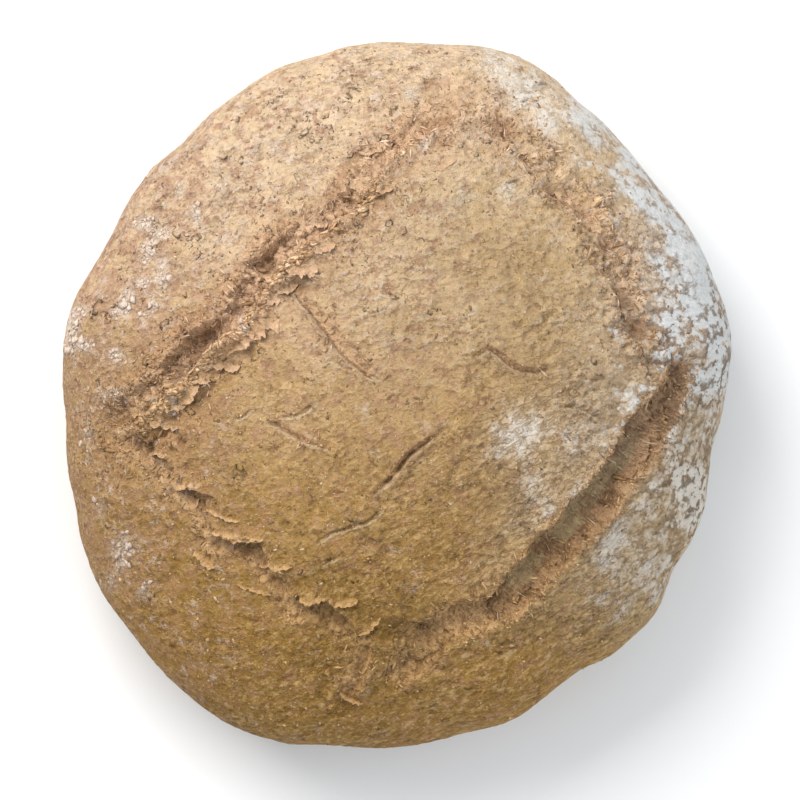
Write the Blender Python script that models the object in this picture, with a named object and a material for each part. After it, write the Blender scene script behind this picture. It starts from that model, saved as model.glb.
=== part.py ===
"""A round whole wheat loaf, baked on a flat hearth and slashed along a tilted square.

One solid: a domed crust over a flat underside, with four torn slashes, the ridges and
flaps that the oven raised along them, pits, and the cracks of the middle panel. Seen
from above, +X is to the right and +Y is up. Sizes are in millimetres until the mesh is
made; the origin is under the middle of the loaf, on the surface that it stands on.
"""

import math
from collections import namedtuple

import bmesh
import bpy
import numpy as np
from mathutils import Vector, noise
from mathutils.geometry import delaunay_2d_cdt

MM = 0.001

# The whole loaf
LOAF_HEIGHT = 94.0
GIRTH_HEIGHT = 36.0  # where the loaf is widest
MEAN_RADIUS = 116.0
FOOT_SHARE = 0.80  # how wide the flat underside is, as a share of the girth
SHOULDER = 2.05  # 2 is an ellipse, and more is squarer
TUCK = 2.15

# Where the edge of the loaf runs, seen from above: degrees from +X, and radius
GIRTH = (
    (0, 111.2), (8, 114.3), (20, 114.2), (34, 112.6), (46, 114.0), (58, 118.0),
    (70, 121.2), (84, 119.4), (100, 120.4), (111, 118.8), (122, 115.4), (129, 114.3),
    (140, 115.2), (152, 113.8), (168, 115.4), (181, 113.3), (196, 115.4), (212, 119.3),
    (228, 121.7), (242, 125.8), (250, 125.2), (260, 121.8), (272, 119.7), (280, 117.7),
    (285, 118.4), (295, 115.9), (303, 112.6), (311, 115.2), (320, 115.2), (328, 111.2),
    (334, 112.2), (344, 110.2), (350, 108.4), (356, 109.8),
)  # fmt: skip
SOFTENED = 30  # degrees over which the crown's own outline is evened out

# The unevenness of hand-shaped dough: size of the lumps, and how far they stand out
LUMPS = ((62.0, 3.0), (27.0, 1.5), (12.0, 0.6))

# A tear runs clockwise round the crown, so that its left side faces the loaf's edge. Its
# line holds x, y and how full the tear is there, from 0 to 1. inner is the width of its
# slope towards the crown, floor half the width of its bottom, outer the width of its wall
# towards the edge, drop how much lower the crust lies outside it, lean how far its lips
# hang over, and ragged how far its line wavers.
Tear = namedtuple("Tear", "line inner floor outer depth inner_lip outer_lip drop lean ragged")

SLASHES = {
    "north west": Tear(
        ((-99, -9, 0.2), (-92, -6, 0.6), (-84, 0, 0.8), (-76, 8, 0.9), (-68, 17, 1.0),
         (-59, 24, 0.9), (-52, 32, 0.8), (-45, 42, 0.8), (-39, 51, 0.7), (-30, 57, 0.4),
         (-21, 61, 0.4), (-15, 67, 0.5), (-8, 78, 0.4), (0, 85, 0.4), (10, 92, 0.3),
         (19, 99, 0.0)),
        inner=3.0, floor=3.4, outer=3.2, depth=3.2, inner_lip=3.8, outer_lip=1.0,
        drop=0.0, lean=1.6, ragged=2.8),
    "north east": Tear(
        ((23, 100, 0.0), (32, 93, 0.7), (44, 83, 0.7), (53, 73, 1.0), (63, 65, 1.0),
         (69, 53, 0.9), (75, 45, 0.7), (78, 32, 0.8), (82, 20, 0.9), (87, 11, 1.0),
         (94, 5, 0.6), (97, 0, 0.0)),
        inner=5.0, floor=0.6, outer=5.5, depth=1.2, inner_lip=0.6, outer_lip=0.5,
        drop=0.3, lean=0.6, ragged=3.0),
    "south east": Tear(
        ((97, 13, 0.0), (94, 6, 0.5), (90, -2, 0.8), (84, -10, 0.9), (79, -19, 1.0),
         (73, -27, 1.0), (68, -33, 1.0), (61, -41, 1.0), (56, -48, 1.0), (49, -55, 1.0),
         (43, -63, 1.0), (36, -70, 0.8), (30, -74, 0.4), (25, -77, 0.0)),
        inner=3.8, floor=2.2, outer=5.6, depth=5.6, inner_lip=0.8, outer_lip=1.2,
        drop=0.0, lean=1.2, ragged=1.1),
    "south": Tear(
        ((42, -65, 0.0), (34, -70, 0.6), (25, -76, 1.0), (15, -80, 1.0), (7, -86, 1.0),
         (0, -94, 0.8), (-5, -102, 0.0)),
        inner=5.5, floor=1.5, outer=6.0, depth=3.0, inner_lip=0.8, outer_lip=1.2,
        drop=0.0, lean=0.9, ragged=1.5),
    "crown": Tear(
        ((-37, 36, 0.0), (-30, 27, 1.0), (-24, 20, 1.0), (-17, 12, 1.0), (-11, 7, 0.7), (-4, 5, 0.0)),
        inner=1.2, floor=0.4, outer=4.2, depth=2.4, inner_lip=1.5, outer_lip=0.2,
        drop=0.0, lean=0.5, ragged=0.9),
}  # fmt: skip

# The south-west slash tore into overlapping flaps, whose edges hang towards the loaf's edge
FLAPS = (
    ((-11, -86, 0.0), (-17, -79, 0.7), (-24, -73, 0.9), (-33, -71, 1.0), (-38, -67, 0.8),
     (-43, -60, 0.2), (-45, -56, 0.0)),
    ((-36, -62, 0.0), (-44, -59, 0.8), (-48, -52, 0.9), (-56, -50, 1.0), (-62, -49, 1.0),
     (-67, -43, 0.6), (-69, -36, 0.0)),
    ((-63, -36, 0.0), (-71, -34, 1.0), (-77, -31, 0.9), (-80, -24, 0.7), (-86, -18, 0.8),
     (-92, -14, 0.8), (-98, -9, 0.0)),
)  # fmt: skip
FLAP_TEAR = Tear(None, inner=1.8, floor=0.8, outer=6.5, depth=1.7, inner_lip=1.6, outer_lip=0.0,
                 drop=1.4, lean=1.2, ragged=2.0)  # fmt: skip

# The thin ridge left standing at the southern corner, and the hollow beside it
CORNER = ((-20, -106, 0.0), (-16, -101, 0.8), (-13, -95, 1.0), (-11, -88, 1.0), (-10, -82, 0.4),
          (-7, -79, 0.0))  # fmt: skip
CORNER_TEAR = Tear(None, inner=1.6, floor=0.6, outer=5.0, depth=2.0, inner_lip=1.6, outer_lip=0.0,
                   drop=0.0, lean=0.8, ragged=0.8)  # fmt: skip

# Cracks of the middle panel
CRACKS = (
    ((-11, -35, 0.0), (-5, -31, 0.6), (0, -26, 1.0), (3, -21, 1.0), (8, -17, 0.6), (19, -9, 0.0)),
    ((25, 12, 0.0), (30, 16, 0.7), (36, 12, 1.0), (42, 8, 1.0), (47, 8, 0.9), (53, 9, 0.0)),
    ((-46, -9, 0.0), (-42, -10, 0.6), (-34, -15, 0.8), (-29, -17, 0.5), (-21, -18, 0.0)),
)  # fmt: skip
CRACK_TEAR = Tear(None, inner=1.3, floor=0.3, outer=1.5, depth=2.4, inner_lip=1.0, outer_lip=0.4,
                  drop=0.0, lean=0.3, ragged=0.6)  # fmt: skip

# Where a slash opened deepest, and the knobs that the oven pushed up beside it:
# x, y, half length, half width, turn in degrees, and height, which is negative in a pit
PITS_AND_KNOBS = (
    (-67, 17, 8.0, 3.6, 50, -4.5), (-45, 47, 5.0, 3.2, 55, -4.0), (-46, 37, 5.0, 3.0, 60, -3.5),
    (-12, 66, 8.0, 2.6, 8, -2.8), (-24, 55, 5.0, 2.6, 25, -2.2), (-13, 82, 6.0, 2.2, 25, -2.2),
    (10, 90, 6.0, 2.0, 30, -1.8), (35, 90, 4.0, 3.4, -20, -3.2), (9, 105, 4.0, 2.2, 30, -1.5),
    (-95, -8, 5.5, 4.5, 20, -4.5), (-84, -17, 5.0, 3.4, -20, -3.4), (-68, -37, 5.0, 3.4, -20, -2.0),
    (-53, -54, 7.0, 3.0, -10, -2.4), (-42, -64, 7.0, 3.0, -15, -2.2), (-23, -77, 8.0, 3.6, -15, -3.0),
    (55, 68, 6.0, 3.0, -20, -2.2), (65, 62, 5.0, 2.6, -30, -2.0), (71, 52, 4.0, 3.0, -60, -1.8),
    (77, 34, 5.0, 2.4, -60, -1.8), (82, 23, 5.0, 3.4, -40, -2.4), (96, 7, 6.0, 5.0, 80, -3.6),
    (3, -81, 9.0, 3.0, 0, -3.0), (-17, -105, 3.5, 3.6, 60, -2.6), (7, -94, 6.0, 1.8, 12, -1.8),
    (-35, 37, 4.0, 2.4, 10, -2.2), (-68, 30, 8.0, 5.0, 45, 2.0), (-59, 15, 6.0, 3.4, 35, 1.6),
    (-73, 3, 6.0, 3.0, 45, 1.2), (-46, 24, 5.0, 3.4, 30, 1.4), (-33, 42, 6.0, 3.0, 0, 1.8),
    (-6, 70, 6.0, 2.6, 10, 1.2), (-51, 48, 5.0, 3.0, 40, 1.3), (82, 16, 4.0, 3.0, 0, 1.4),
    (88, 21, 3.5, 2.8, 30, 1.1), (17, 82, 5.0, 3.0, 30, 1.2), (50, 75, 4.0, 2.6, -30, 1.0),
)  # fmt: skip

LIP_WIDTH = 3.0  # narrower on tears whose inner slope is short
BEHIND, TROUGH = 5.0, 0.35  # a raised lip has a low trough behind it: its width, and its share
DROP_REACH = 22.0  # over how far the lower crust outside a tear comes level again
CRUST_STEP = 0.25  # share of a tear's depth that is the broken edge of the crust
FADE_START, FADE_END = 0.86, 0.99  # share of the girth over which the tears die out

# The mesh: spacing of its points near a tear, doubled on open crust and again below
FINE = 2.75
NEAR_TEAR = 3.0
RIM_POINTS = 132
CROWN_STEPS = 400

CRUST_COLOUR = (0.46, 0.27, 0.12, 1.0)
CRUST_ROUGHNESS = 0.82


def smooth(share):
    share = np.clip(share, 0.0, 1.0)
    return share * share * (3.0 - 2.0 * share)


def lumps(points, size, seed):
    """Smooth unevenness between -1 and 1, with lumps of this size."""
    away = Vector((17.3, 5.1, 9.7)) * seed
    return np.array([noise.noise(Vector(point) / size + away) for point in points.tolist()])


def girth_radius(angle):
    """The loaf's radius at an angle in degrees: a smooth closed curve through GIRTH."""
    at, radius = np.array(GIRTH, float).T
    at = np.concatenate([at - 360, at, at + 360])
    radius = np.tile(radius, 3)
    slope = np.gradient(radius, at)
    first = np.searchsorted(at, angle, side="right") - 1
    width = at[first + 1] - at[first]
    share = (angle - at[first]) / width
    start = (1 + 2 * share) * (1 - share) ** 2 * radius[first]
    start += share * (1 - share) ** 2 * width * slope[first]
    end = share**2 * (3 - 2 * share) * radius[first + 1]
    end += share**2 * (share - 1) * width * slope[first + 1]
    return start + end


def crown_radius(angle):
    """The same outline without its notches, as the crown has it."""
    turns = np.linspace(-SOFTENED, SOFTENED, 9)
    return np.mean([girth_radius((angle + turn) % 360) for turn in turns], axis=0)


def meridian():
    """The skin from crown to underside: share of the radius, height, and length run."""
    turn = np.linspace(0, math.pi / 2, CROWN_STEPS)
    share = np.sin(turn) ** (2 / SHOULDER)
    height = GIRTH_HEIGHT + (LOAF_HEIGHT - GIRTH_HEIGHT) * np.cos(turn) ** (2 / SHOULDER)
    under_share = FOOT_SHARE + (1 - FOOT_SHARE) * np.cos(turn[1:]) ** (2 / TUCK)
    under_height = GIRTH_HEIGHT * (1 - np.sin(turn[1:]) ** (2 / TUCK))
    share = np.concatenate([share, under_share])
    height = np.concatenate([height, under_height])
    steps = np.hypot(np.diff(share) * MEAN_RADIUS, np.diff(height))
    return share, height, np.concatenate([[0.0], np.cumsum(steps)])


SHARE, HEIGHT, RUN = meridian()
WHOLE_RUN = RUN[-1]
GIRTH_RUN = RUN[CROWN_STEPS - 1]


def skin(chart):
    """The smooth body over a flat chart, whose middle is the crown and whose rim is the
    edge of the underside. Distances from the middle are lengths along the skin."""
    run = np.hypot(*chart.T)
    angle = np.degrees(np.arctan2(chart[:, 1], chart[:, 0])) % 360
    evened = crown_radius(angle)
    radius = evened + (girth_radius(angle) - evened) * smooth((run / GIRTH_RUN - 0.45) / 0.45)
    across = np.interp(run, RUN, SHARE) * radius
    direction = np.radians(angle)
    height = np.interp(run, RUN, HEIGHT)
    return np.stack([across * np.cos(direction), across * np.sin(direction), height], axis=1)


def skin_and_normal(chart):
    step = 0.4
    east = skin(chart + (step, 0)) - skin(chart - (step, 0))
    north = skin(chart + (0, step)) - skin(chart - (0, step))
    normal = np.cross(east, north)
    return skin(chart), normal / np.linalg.norm(normal, axis=1, keepdims=True)


def beside(plan, line):
    """For points seen from above: how far each is to the left of a line of straight
    stretches, how full the line is there, and which way is left."""
    line = np.array(line, float)
    best = np.full(len(plan), np.inf)
    side, full, left = np.zeros(len(plan)), np.zeros(len(plan)), np.zeros((len(plan), 2))
    for start, end in zip(line[:-1], line[1:]):
        length = np.linalg.norm(end[:2] - start[:2])
        ahead = (end[:2] - start[:2]) / length
        leftward = np.array([-ahead[1], ahead[0]])
        away = plan - start[:2]
        run = np.clip(away @ ahead, 0, length)
        distance = np.linalg.norm(away - run[:, None] * ahead, axis=1)
        closer = distance < best
        best = np.where(closer, distance, best)
        side = np.where(closer, np.copysign(distance, away @ leftward), side)
        full = np.where(closer, start[2] + (end[2] - start[2]) * run / length, full)
        left = np.where(closer[:, None], leftward, left)
    return side, full, left


def unevenness(plan):
    """What makes the tears ragged: how far their lines waver, and how their depth, the
    widths of their two sides and the height of their lips vary from place to place."""
    spots = np.column_stack([plan, np.zeros(len(plan))])
    waver = [lumps(spots, 13.0, k) + 0.5 * lumps(spots, 5.0, k + 4) for k in (1, 2)]
    deeper = 1.0 + 0.45 * lumps(spots, 17.0, 9)
    inner_wider = 1.0 + 0.4 * lumps(spots, 21.0, 10)
    outer_wider = 1.0 + 0.4 * lumps(spots, 15.0, 11)
    lips_higher = 1.0 + 0.9 * lumps(spots, 7.0, 12)
    return np.stack(waver, axis=1), deeper, inner_wider, outer_wider, lips_higher


def broken_slope(share):
    """Rise from the bottom of a tear, at 0, to its lip, at 1: a slope, and then the step
    that is the broken edge of the crust."""
    share = np.clip(share, 0, 1)
    return (1 - CRUST_STEP) * share**1.2 + CRUST_STEP * smooth((share - 0.75) / 0.25)


def tear_relief(plan, tear, uneven):
    """Height and sideways shift that a tear gives to the crust at each point."""
    waver, deeper, inner_wider, outer_wider, lips_higher = uneven
    side, full, left = beside(plan + tear.ragged * waver, tear.line)
    width = 0.4 + 0.6 * full
    inner = tear.inner * width * inner_wider
    outer = tear.outer * width * outer_wider
    floor = tear.floor * width
    rise = np.maximum(broken_slope((-side - floor) / inner), broken_slope((side - floor) / outer))
    height = -tear.depth * full * deeper * (1.0 - rise)
    lip = LIP_WIDTH * min(1.0, tear.inner / 4.0)
    inner_lip = np.exp(-(((side + floor + inner + 0.4 * lip) / lip) ** 2))
    outer_lip = np.exp(-(((side - floor - outer - 0.4 * lip) / lip) ** 2))
    height += full * lips_higher * (tear.inner_lip * inner_lip + tear.outer_lip * outer_lip)
    behind = np.exp(-(((side + floor + inner + 0.4 * lip + BEHIND) / BEHIND) ** 2))
    height -= TROUGH * full * lips_higher * tear.inner_lip * behind
    fall = smooth((side + floor + inner) / inner) * np.exp(-np.maximum(side, 0) / DROP_REACH)
    height -= tear.drop * full * fall
    shift = tear.lean * full * (inner_lip - 0.5 * outer_lip)
    return height, shift[:, None] * left


def pit_relief(plan):
    height = np.zeros(len(plan))
    for x, y, long, wide, turn, rise in PITS_AND_KNOBS:
        c, s = math.cos(math.radians(turn)), math.sin(math.radians(turn))
        away = plan - (x, y)
        reach = np.hypot((away @ (c, s)) / long, (away @ (-s, c)) / wide)
        height += rise * np.exp(-(reach**2))
    return height


def all_tears():
    yield from SLASHES.values()
    yield from (FLAP_TEAR._replace(line=line) for line in FLAPS)
    yield CORNER_TEAR._replace(line=CORNER)
    yield from (CRACK_TEAR._replace(line=line) for line in CRACKS)


def surface(chart):
    """The finished crust over the chart."""
    body, normal = skin_and_normal(chart)
    share = np.hypot(*chart.T) / GIRTH_RUN
    torn = 1.0 - smooth((share - FADE_START) / (FADE_END - FADE_START))
    plan = body[:, :2]
    height = pit_relief(plan)
    shift = np.zeros_like(plan)
    uneven = unevenness(plan)
    for tear in all_tears():
        tear_height, tear_shift = tear_relief(plan, tear, uneven)
        height += tear_height
        shift += tear_shift
    height *= torn
    shift *= torn[:, None]
    firm = smooth((WHOLE_RUN - np.hypot(*chart.T)) / 25.0)  # the underside's edge stays flat
    for number, (size, rise) in enumerate(LUMPS):
        height += firm * rise * lumps(body, size, 100.0 + number)
    moved = body + height[:, None] * normal
    moved[:, :2] += shift
    return moved


def wanted_level(chart):
    """0 where the mesh is fine, 1 where its spacing is doubled and 2 where redoubled."""
    plan = skin(chart)[:, :2]
    run = np.hypot(*chart.T)
    level = np.where(run > GIRTH_RUN * 1.04, 2, 1)
    for tear in all_tears():
        side, _, _ = beside(plan, tear.line)
        near = (side > -tear.floor - tear.inner - NEAR_TEAR) & (side < tear.floor + tear.outer + NEAR_TEAR)
        level[near & (run < GIRTH_RUN)] = 0
    return level


def lattice(spacing, radius):
    """Points of a triangular lattice over a disc, and how often each one's numbers
    can be halved, up to twice."""
    reach = int(radius / spacing * 1.2) + 2
    column, row = np.meshgrid(np.arange(-reach, reach + 1), np.arange(-reach, reach + 1))
    column, row = column.ravel(), row.ravel()
    spots = spacing * np.column_stack([column + row / 2, row * math.sqrt(3) / 2])
    halved = ((column % 2 == 0) & (row % 2 == 0)).astype(int)
    halved += (column % 4 == 0) & (row % 4 == 0)
    inside = np.hypot(*spots.T) < radius
    return spots[inside], halved[inside]


def rim():
    """Directions and chart distances of the points round the edge of the underside."""
    turn = np.linspace(0, 2 * math.pi, RIM_POINTS, endpoint=False)
    return WHOLE_RUN * np.column_stack([np.cos(turn), np.sin(turn)])


def triangles(spots, boundary_count):
    """Triangles over flat points, the first of which are the boundary in order."""
    loop = [(i, (i + 1) % boundary_count) for i in range(boundary_count)]
    result = delaunay_2d_cdt([Vector(spot) for spot in spots.tolist()], loop, [], 1, 1e-6)
    if len(result[0]) != len(spots):
        raise ValueError("two points of the mesh coincide")
    return result[2]


def make_loaf():
    edge = rim()
    spots, halved = lattice(FINE, WHOLE_RUN - 4.0)
    spots = spots[halved >= wanted_level(spots)]
    chart = np.concatenate([edge, spots])
    top = surface(chart)
    top[:RIM_POINTS, 2] = 0.0
    floor_spots, halved = lattice(FINE, MEAN_RADIUS * FOOT_SHARE - 8.0)
    floor_spots = floor_spots[halved == 2]
    floor = np.column_stack([floor_spots, np.zeros(len(floor_spots))])
    flat = np.concatenate([top[:RIM_POINTS, :2], floor_spots])
    first_floor = len(top) - RIM_POINTS

    faces = [tuple(face) for face in triangles(chart, RIM_POINTS)]
    for a, b, c in triangles(flat, RIM_POINTS):
        faces.append(tuple(i if i < RIM_POINTS else i + first_floor for i in (c, b, a)))
    points = np.concatenate([top, floor]) * MM

    mesh = bpy.data.meshes.new("loaf")
    mesh.from_pydata(points.tolist(), [], faces)
    body = bmesh.new()
    body.from_mesh(mesh)
    bmesh.ops.recalc_face_normals(body, faces=body.faces)
    body.to_mesh(mesh)
    body.free()
    mesh.shade_smooth()
    mesh.set_sharp_from_angle(angle=math.radians(60))
    return mesh


def crust_material():
    material = bpy.data.materials.new("whole wheat crust")
    material.use_nodes = True
    finish = material.node_tree.nodes["Principled BSDF"]
    finish.inputs["Base Color"].default_value = CRUST_COLOUR
    finish.inputs["Roughness"].default_value = CRUST_ROUGHNESS
    finish.inputs["Metallic"].default_value = 0.0
    return material


def main():
    for old in list(bpy.data.objects):
        bpy.data.objects.remove(old, do_unlink=True)
    mesh = make_loaf()
    mesh.materials.append(crust_material())
    loaf = bpy.data.objects.new("loaf", mesh)
    bpy.context.scene.collection.objects.link(loaf)
    print(len(mesh.vertices), "points,", len(mesh.polygons), "triangles")


main()
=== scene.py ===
# %% [markdown]
# # A whole wheat hearth loaf
# The photo looks straight down on a round loaf: a matt golden crust full of bran, torn
# open along four slashes that make a tilted square, with flour left on one side. The
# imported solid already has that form. This lesson grows a finer crust over the same form,
# paints it, and then lays on the loose things: bran, shreds of crumb, crumbs and flour.

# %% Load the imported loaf
import math
from collections import namedtuple

import bpy
import numpy as np
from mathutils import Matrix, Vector, noise
from mathutils.bvhtree import BVHTree
from mathutils.geometry import delaunay_2d_cdt


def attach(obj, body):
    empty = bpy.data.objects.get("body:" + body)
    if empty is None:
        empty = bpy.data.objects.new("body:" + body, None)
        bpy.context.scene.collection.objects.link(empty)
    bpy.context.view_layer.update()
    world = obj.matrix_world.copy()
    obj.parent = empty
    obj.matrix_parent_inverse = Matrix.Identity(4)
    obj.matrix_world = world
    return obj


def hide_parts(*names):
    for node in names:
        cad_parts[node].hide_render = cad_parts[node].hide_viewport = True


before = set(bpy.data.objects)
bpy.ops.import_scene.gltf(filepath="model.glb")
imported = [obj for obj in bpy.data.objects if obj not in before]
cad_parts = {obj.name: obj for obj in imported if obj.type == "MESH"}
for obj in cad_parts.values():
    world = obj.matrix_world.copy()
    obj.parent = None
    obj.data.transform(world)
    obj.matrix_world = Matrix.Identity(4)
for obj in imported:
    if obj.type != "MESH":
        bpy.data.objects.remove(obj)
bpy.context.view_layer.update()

MM = 0.001
scene = bpy.context.scene

# %% [markdown]
# ## The camera
# The photo shows no flank on any side, so the camera hangs straight above the middle. A
# parallel view keeps every slash where the photo has it, whatever its height on the dome.
# Seen this way +Y is the top of the picture, and one pixel is 0.34 mm of bread.

# %% Camera straight above
PHOTO_PIXELS = 800
MM_PER_PIXEL = 0.34
PHOTO_MIDDLE = (399.0, 394.5)  # the pixel over the loaf's own middle
CAMERA_HEIGHT = 1.0  # in metres; a parallel view looks the same from any height

lens = bpy.data.cameras.new("view from above")
lens.type = "ORTHO"
lens.ortho_scale = PHOTO_PIXELS * MM_PER_PIXEL * MM
camera = bpy.data.objects.new("view from above", lens)
east = (PHOTO_PIXELS / 2 - PHOTO_MIDDLE[0]) * MM_PER_PIXEL * MM
north = (PHOTO_MIDDLE[1] - PHOTO_PIXELS / 2) * MM_PER_PIXEL * MM
camera.location = (east, north, CAMERA_HEIGHT)
scene.collection.objects.link(camera)
scene.camera = camera
print("the camera sees", round(1000 * lens.ortho_scale), "mm of table")

# %% [markdown]
# ## Floor and light
# Only a plain pale floor stands in for the white around the photographed loaf. The bright
# side of every lump faces the top of the picture and its shade lies below, so the key is a
# large soft lamp high behind the top edge, a little to the left. A cool sky fills the
# shade, and a weak cool lamp at the right gives the floury side its blue.

# %% A plain floor
FLOOR_SIZE = 6.0
FLOOR_COLOUR = (0.86, 0.86, 0.86, 1.0)

floor_mesh = bpy.data.meshes.new("floor")
half = FLOOR_SIZE / 2
floor_corners = [(-half, -half, 0), (half, -half, 0), (half, half, 0), (-half, half, 0)]
floor_mesh.from_pydata(floor_corners, [], [(0, 1, 2, 3)])
floor = bpy.data.objects.new("floor", floor_mesh)
scene.collection.objects.link(floor)
floor_paint = bpy.data.materials.new("pale floor")
floor_paint.use_nodes = True
floor_finish = floor_paint.node_tree.nodes["Principled BSDF"]
floor_finish.inputs["Base Color"].default_value = FLOOR_COLOUR
floor_finish.inputs["Roughness"].default_value = 0.9
floor_mesh.materials.append(floor_paint)


# %% Lamps and sky
def soft_lamp(name, toward, distance, size, watts, colour):
    """A square lamp on the line from the loaf in the direction toward, facing the loaf."""
    lamp = bpy.data.lights.new(name, "AREA")
    lamp.size = size
    lamp.energy = watts
    lamp.color = colour
    holder = bpy.data.objects.new(name, lamp)
    direction = Vector(toward).normalized()
    holder.location = direction * distance
    holder.rotation_mode = "QUATERNION"
    holder.rotation_quaternion = direction.to_track_quat("Z", "Y")
    scene.collection.objects.link(holder)


SKY_COLOUR = (0.90, 0.95, 1.0, 1.0)
SKY_STRENGTH = 0.68

soft_lamp("key", (-0.58, 0.74, 0.95), 1.6, 1.2, 31.0, (1.0, 0.955, 0.90))
soft_lamp("cool side", (0.9, -0.3, 0.8), 1.5, 1.4, 9.0, (0.93, 0.97, 1.0))

sky = bpy.data.worlds.new("soft sky")
scene.world = sky
sky.use_nodes = True
sky.node_tree.nodes["Background"].inputs["Color"].default_value = SKY_COLOUR
sky.node_tree.nodes["Background"].inputs["Strength"].default_value = SKY_STRENGTH
scene.view_settings.view_transform = "Standard"

# %% [markdown]
# ## The body of the loaf
# Dough that rises on a flat stone becomes a dome with a rounded foot. The outline from
# above is a smooth closed curve through a few radii; a profile of two rounded quarters
# gives the height. Each point of the crust has an address on a flat round chart: its
# direction from the crown, and the length of skin between it and the crown. These are the
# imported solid's own rules, so the finer crust keeps its form.

# %% Outline from above
GIRTH = (
    (0, 111.2), (8, 114.3), (20, 114.2), (34, 112.6), (46, 114.0), (58, 118.0),
    (70, 121.2), (84, 119.4), (100, 120.4), (111, 118.8), (122, 115.4), (129, 114.3),
    (140, 115.2), (152, 113.8), (168, 115.4), (181, 113.3), (196, 115.4), (212, 119.3),
    (228, 121.7), (242, 125.8), (250, 125.2), (260, 121.8), (272, 119.7), (280, 117.7),
    (285, 118.4), (295, 115.9), (303, 112.6), (311, 115.2), (320, 115.2), (328, 111.2),
    (334, 112.2), (344, 110.2), (350, 108.4), (356, 109.8),
)
SOFTENED = 30  # degrees over which the crown's own outline is evened out


def girth_radius(angle):
    """The loaf's radius at an angle in degrees: a smooth closed curve through GIRTH."""
    at, radius = np.array(GIRTH, float).T
    at = np.concatenate([at - 360, at, at + 360])
    radius = np.tile(radius, 3)
    slope = np.gradient(radius, at)
    first = np.searchsorted(at, angle, side="right") - 1
    width = at[first + 1] - at[first]
    share = (angle - at[first]) / width
    start = (1 + 2 * share) * (1 - share) ** 2 * radius[first]
    start += share * (1 - share) ** 2 * width * slope[first]
    end = share**2 * (3 - 2 * share) * radius[first + 1]
    end += share**2 * (share - 1) * width * slope[first + 1]
    return start + end


def crown_radius(angle):
    """The same outline without its notches, as the crown has it."""
    turns = np.linspace(-SOFTENED, SOFTENED, 9)
    return np.mean([girth_radius((angle + turn) % 360) for turn in turns], axis=0)


print("the outline runs through", len(GIRTH), "radii")

# %% Profile from crown to foot
LOAF_HEIGHT = 94.0
GIRTH_HEIGHT = 36.0  # where the loaf is widest
MEAN_RADIUS = 116.0
FOOT_SHARE = 0.80  # how wide the flat underside is, as a share of the girth
SHOULDER = 2.05  # 2 is an ellipse, and more is squarer
TUCK = 2.15
PROFILE_STEPS = 400


def meridian():
    """The skin from crown to underside: share of the radius, height, and length run."""
    turn = np.linspace(0, math.pi / 2, PROFILE_STEPS)
    share = np.sin(turn) ** (2 / SHOULDER)
    height = GIRTH_HEIGHT + (LOAF_HEIGHT - GIRTH_HEIGHT) * np.cos(turn) ** (2 / SHOULDER)
    under_share = FOOT_SHARE + (1 - FOOT_SHARE) * np.cos(turn[1:]) ** (2 / TUCK)
    under_height = GIRTH_HEIGHT * (1 - np.sin(turn[1:]) ** (2 / TUCK))
    share = np.concatenate([share, under_share])
    height = np.concatenate([height, under_height])
    steps = np.hypot(np.diff(share) * MEAN_RADIUS, np.diff(height))
    return share, height, np.concatenate([[0.0], np.cumsum(steps)])


SHARE, HEIGHT, RUN = meridian()
WHOLE_RUN = RUN[-1]
GIRTH_RUN = RUN[PROFILE_STEPS - 1]
print("skin from crown to foot:", round(WHOLE_RUN), "mm")

# %% The smooth skin
NOTCHED = (0.45, 0.90)  # shares of the way to the girth over which the notches come in


def smooth(share):
    """0 up to 0, 1 from 1 on, and a smooth rise between."""
    share = np.clip(share, 0.0, 1.0)
    return share * share * (3.0 - 2.0 * share)


def skin(chart):
    """The smooth body over the chart, whose rim is the edge of the underside."""
    run = np.hypot(*chart.T)
    angle = np.degrees(np.arctan2(chart[:, 1], chart[:, 0])) % 360
    evened = crown_radius(angle)
    notched = smooth((run / GIRTH_RUN - NOTCHED[0]) / (NOTCHED[1] - NOTCHED[0]))
    radius = evened + (girth_radius(angle) - evened) * notched
    out = np.interp(run, RUN, SHARE) * radius
    direction = np.radians(angle)
    height = np.interp(run, RUN, HEIGHT)
    return np.stack([out * np.cos(direction), out * np.sin(direction), height], axis=1)


def skin_and_normal(chart):
    """The smooth body, and the way its skin faces: square to two short steps along it."""
    step = 0.4
    east = skin(chart + (step, 0)) - skin(chart - (step, 0))
    north = skin(chart + (0, step)) - skin(chart - (0, step))
    normal = np.cross(east, north)
    return skin(chart), normal / np.linalg.norm(normal, axis=1, keepdims=True)


# %% [markdown]
# ## The slashes
# A baker cuts the risen loaf, and the oven tears each cut open. Across a tear there is a
# slope that comes up from the crown side, a narrow bottom, and a wall up to the crust
# outside, each ending in the broken edge of the crust and often in a raised lip. One
# description fits all of them, from the wide south-east slash to the hair cracks of the
# middle panel, so each tear is a line with a fullness at each of its points, and a few
# widths in millimetres. All lines run clockwise, which puts the outside on their left.

# %% Where the loaf tore
Tear = namedtuple("Tear", "line inner floor outer depth inner_lip outer_lip drop lean ragged")

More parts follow.
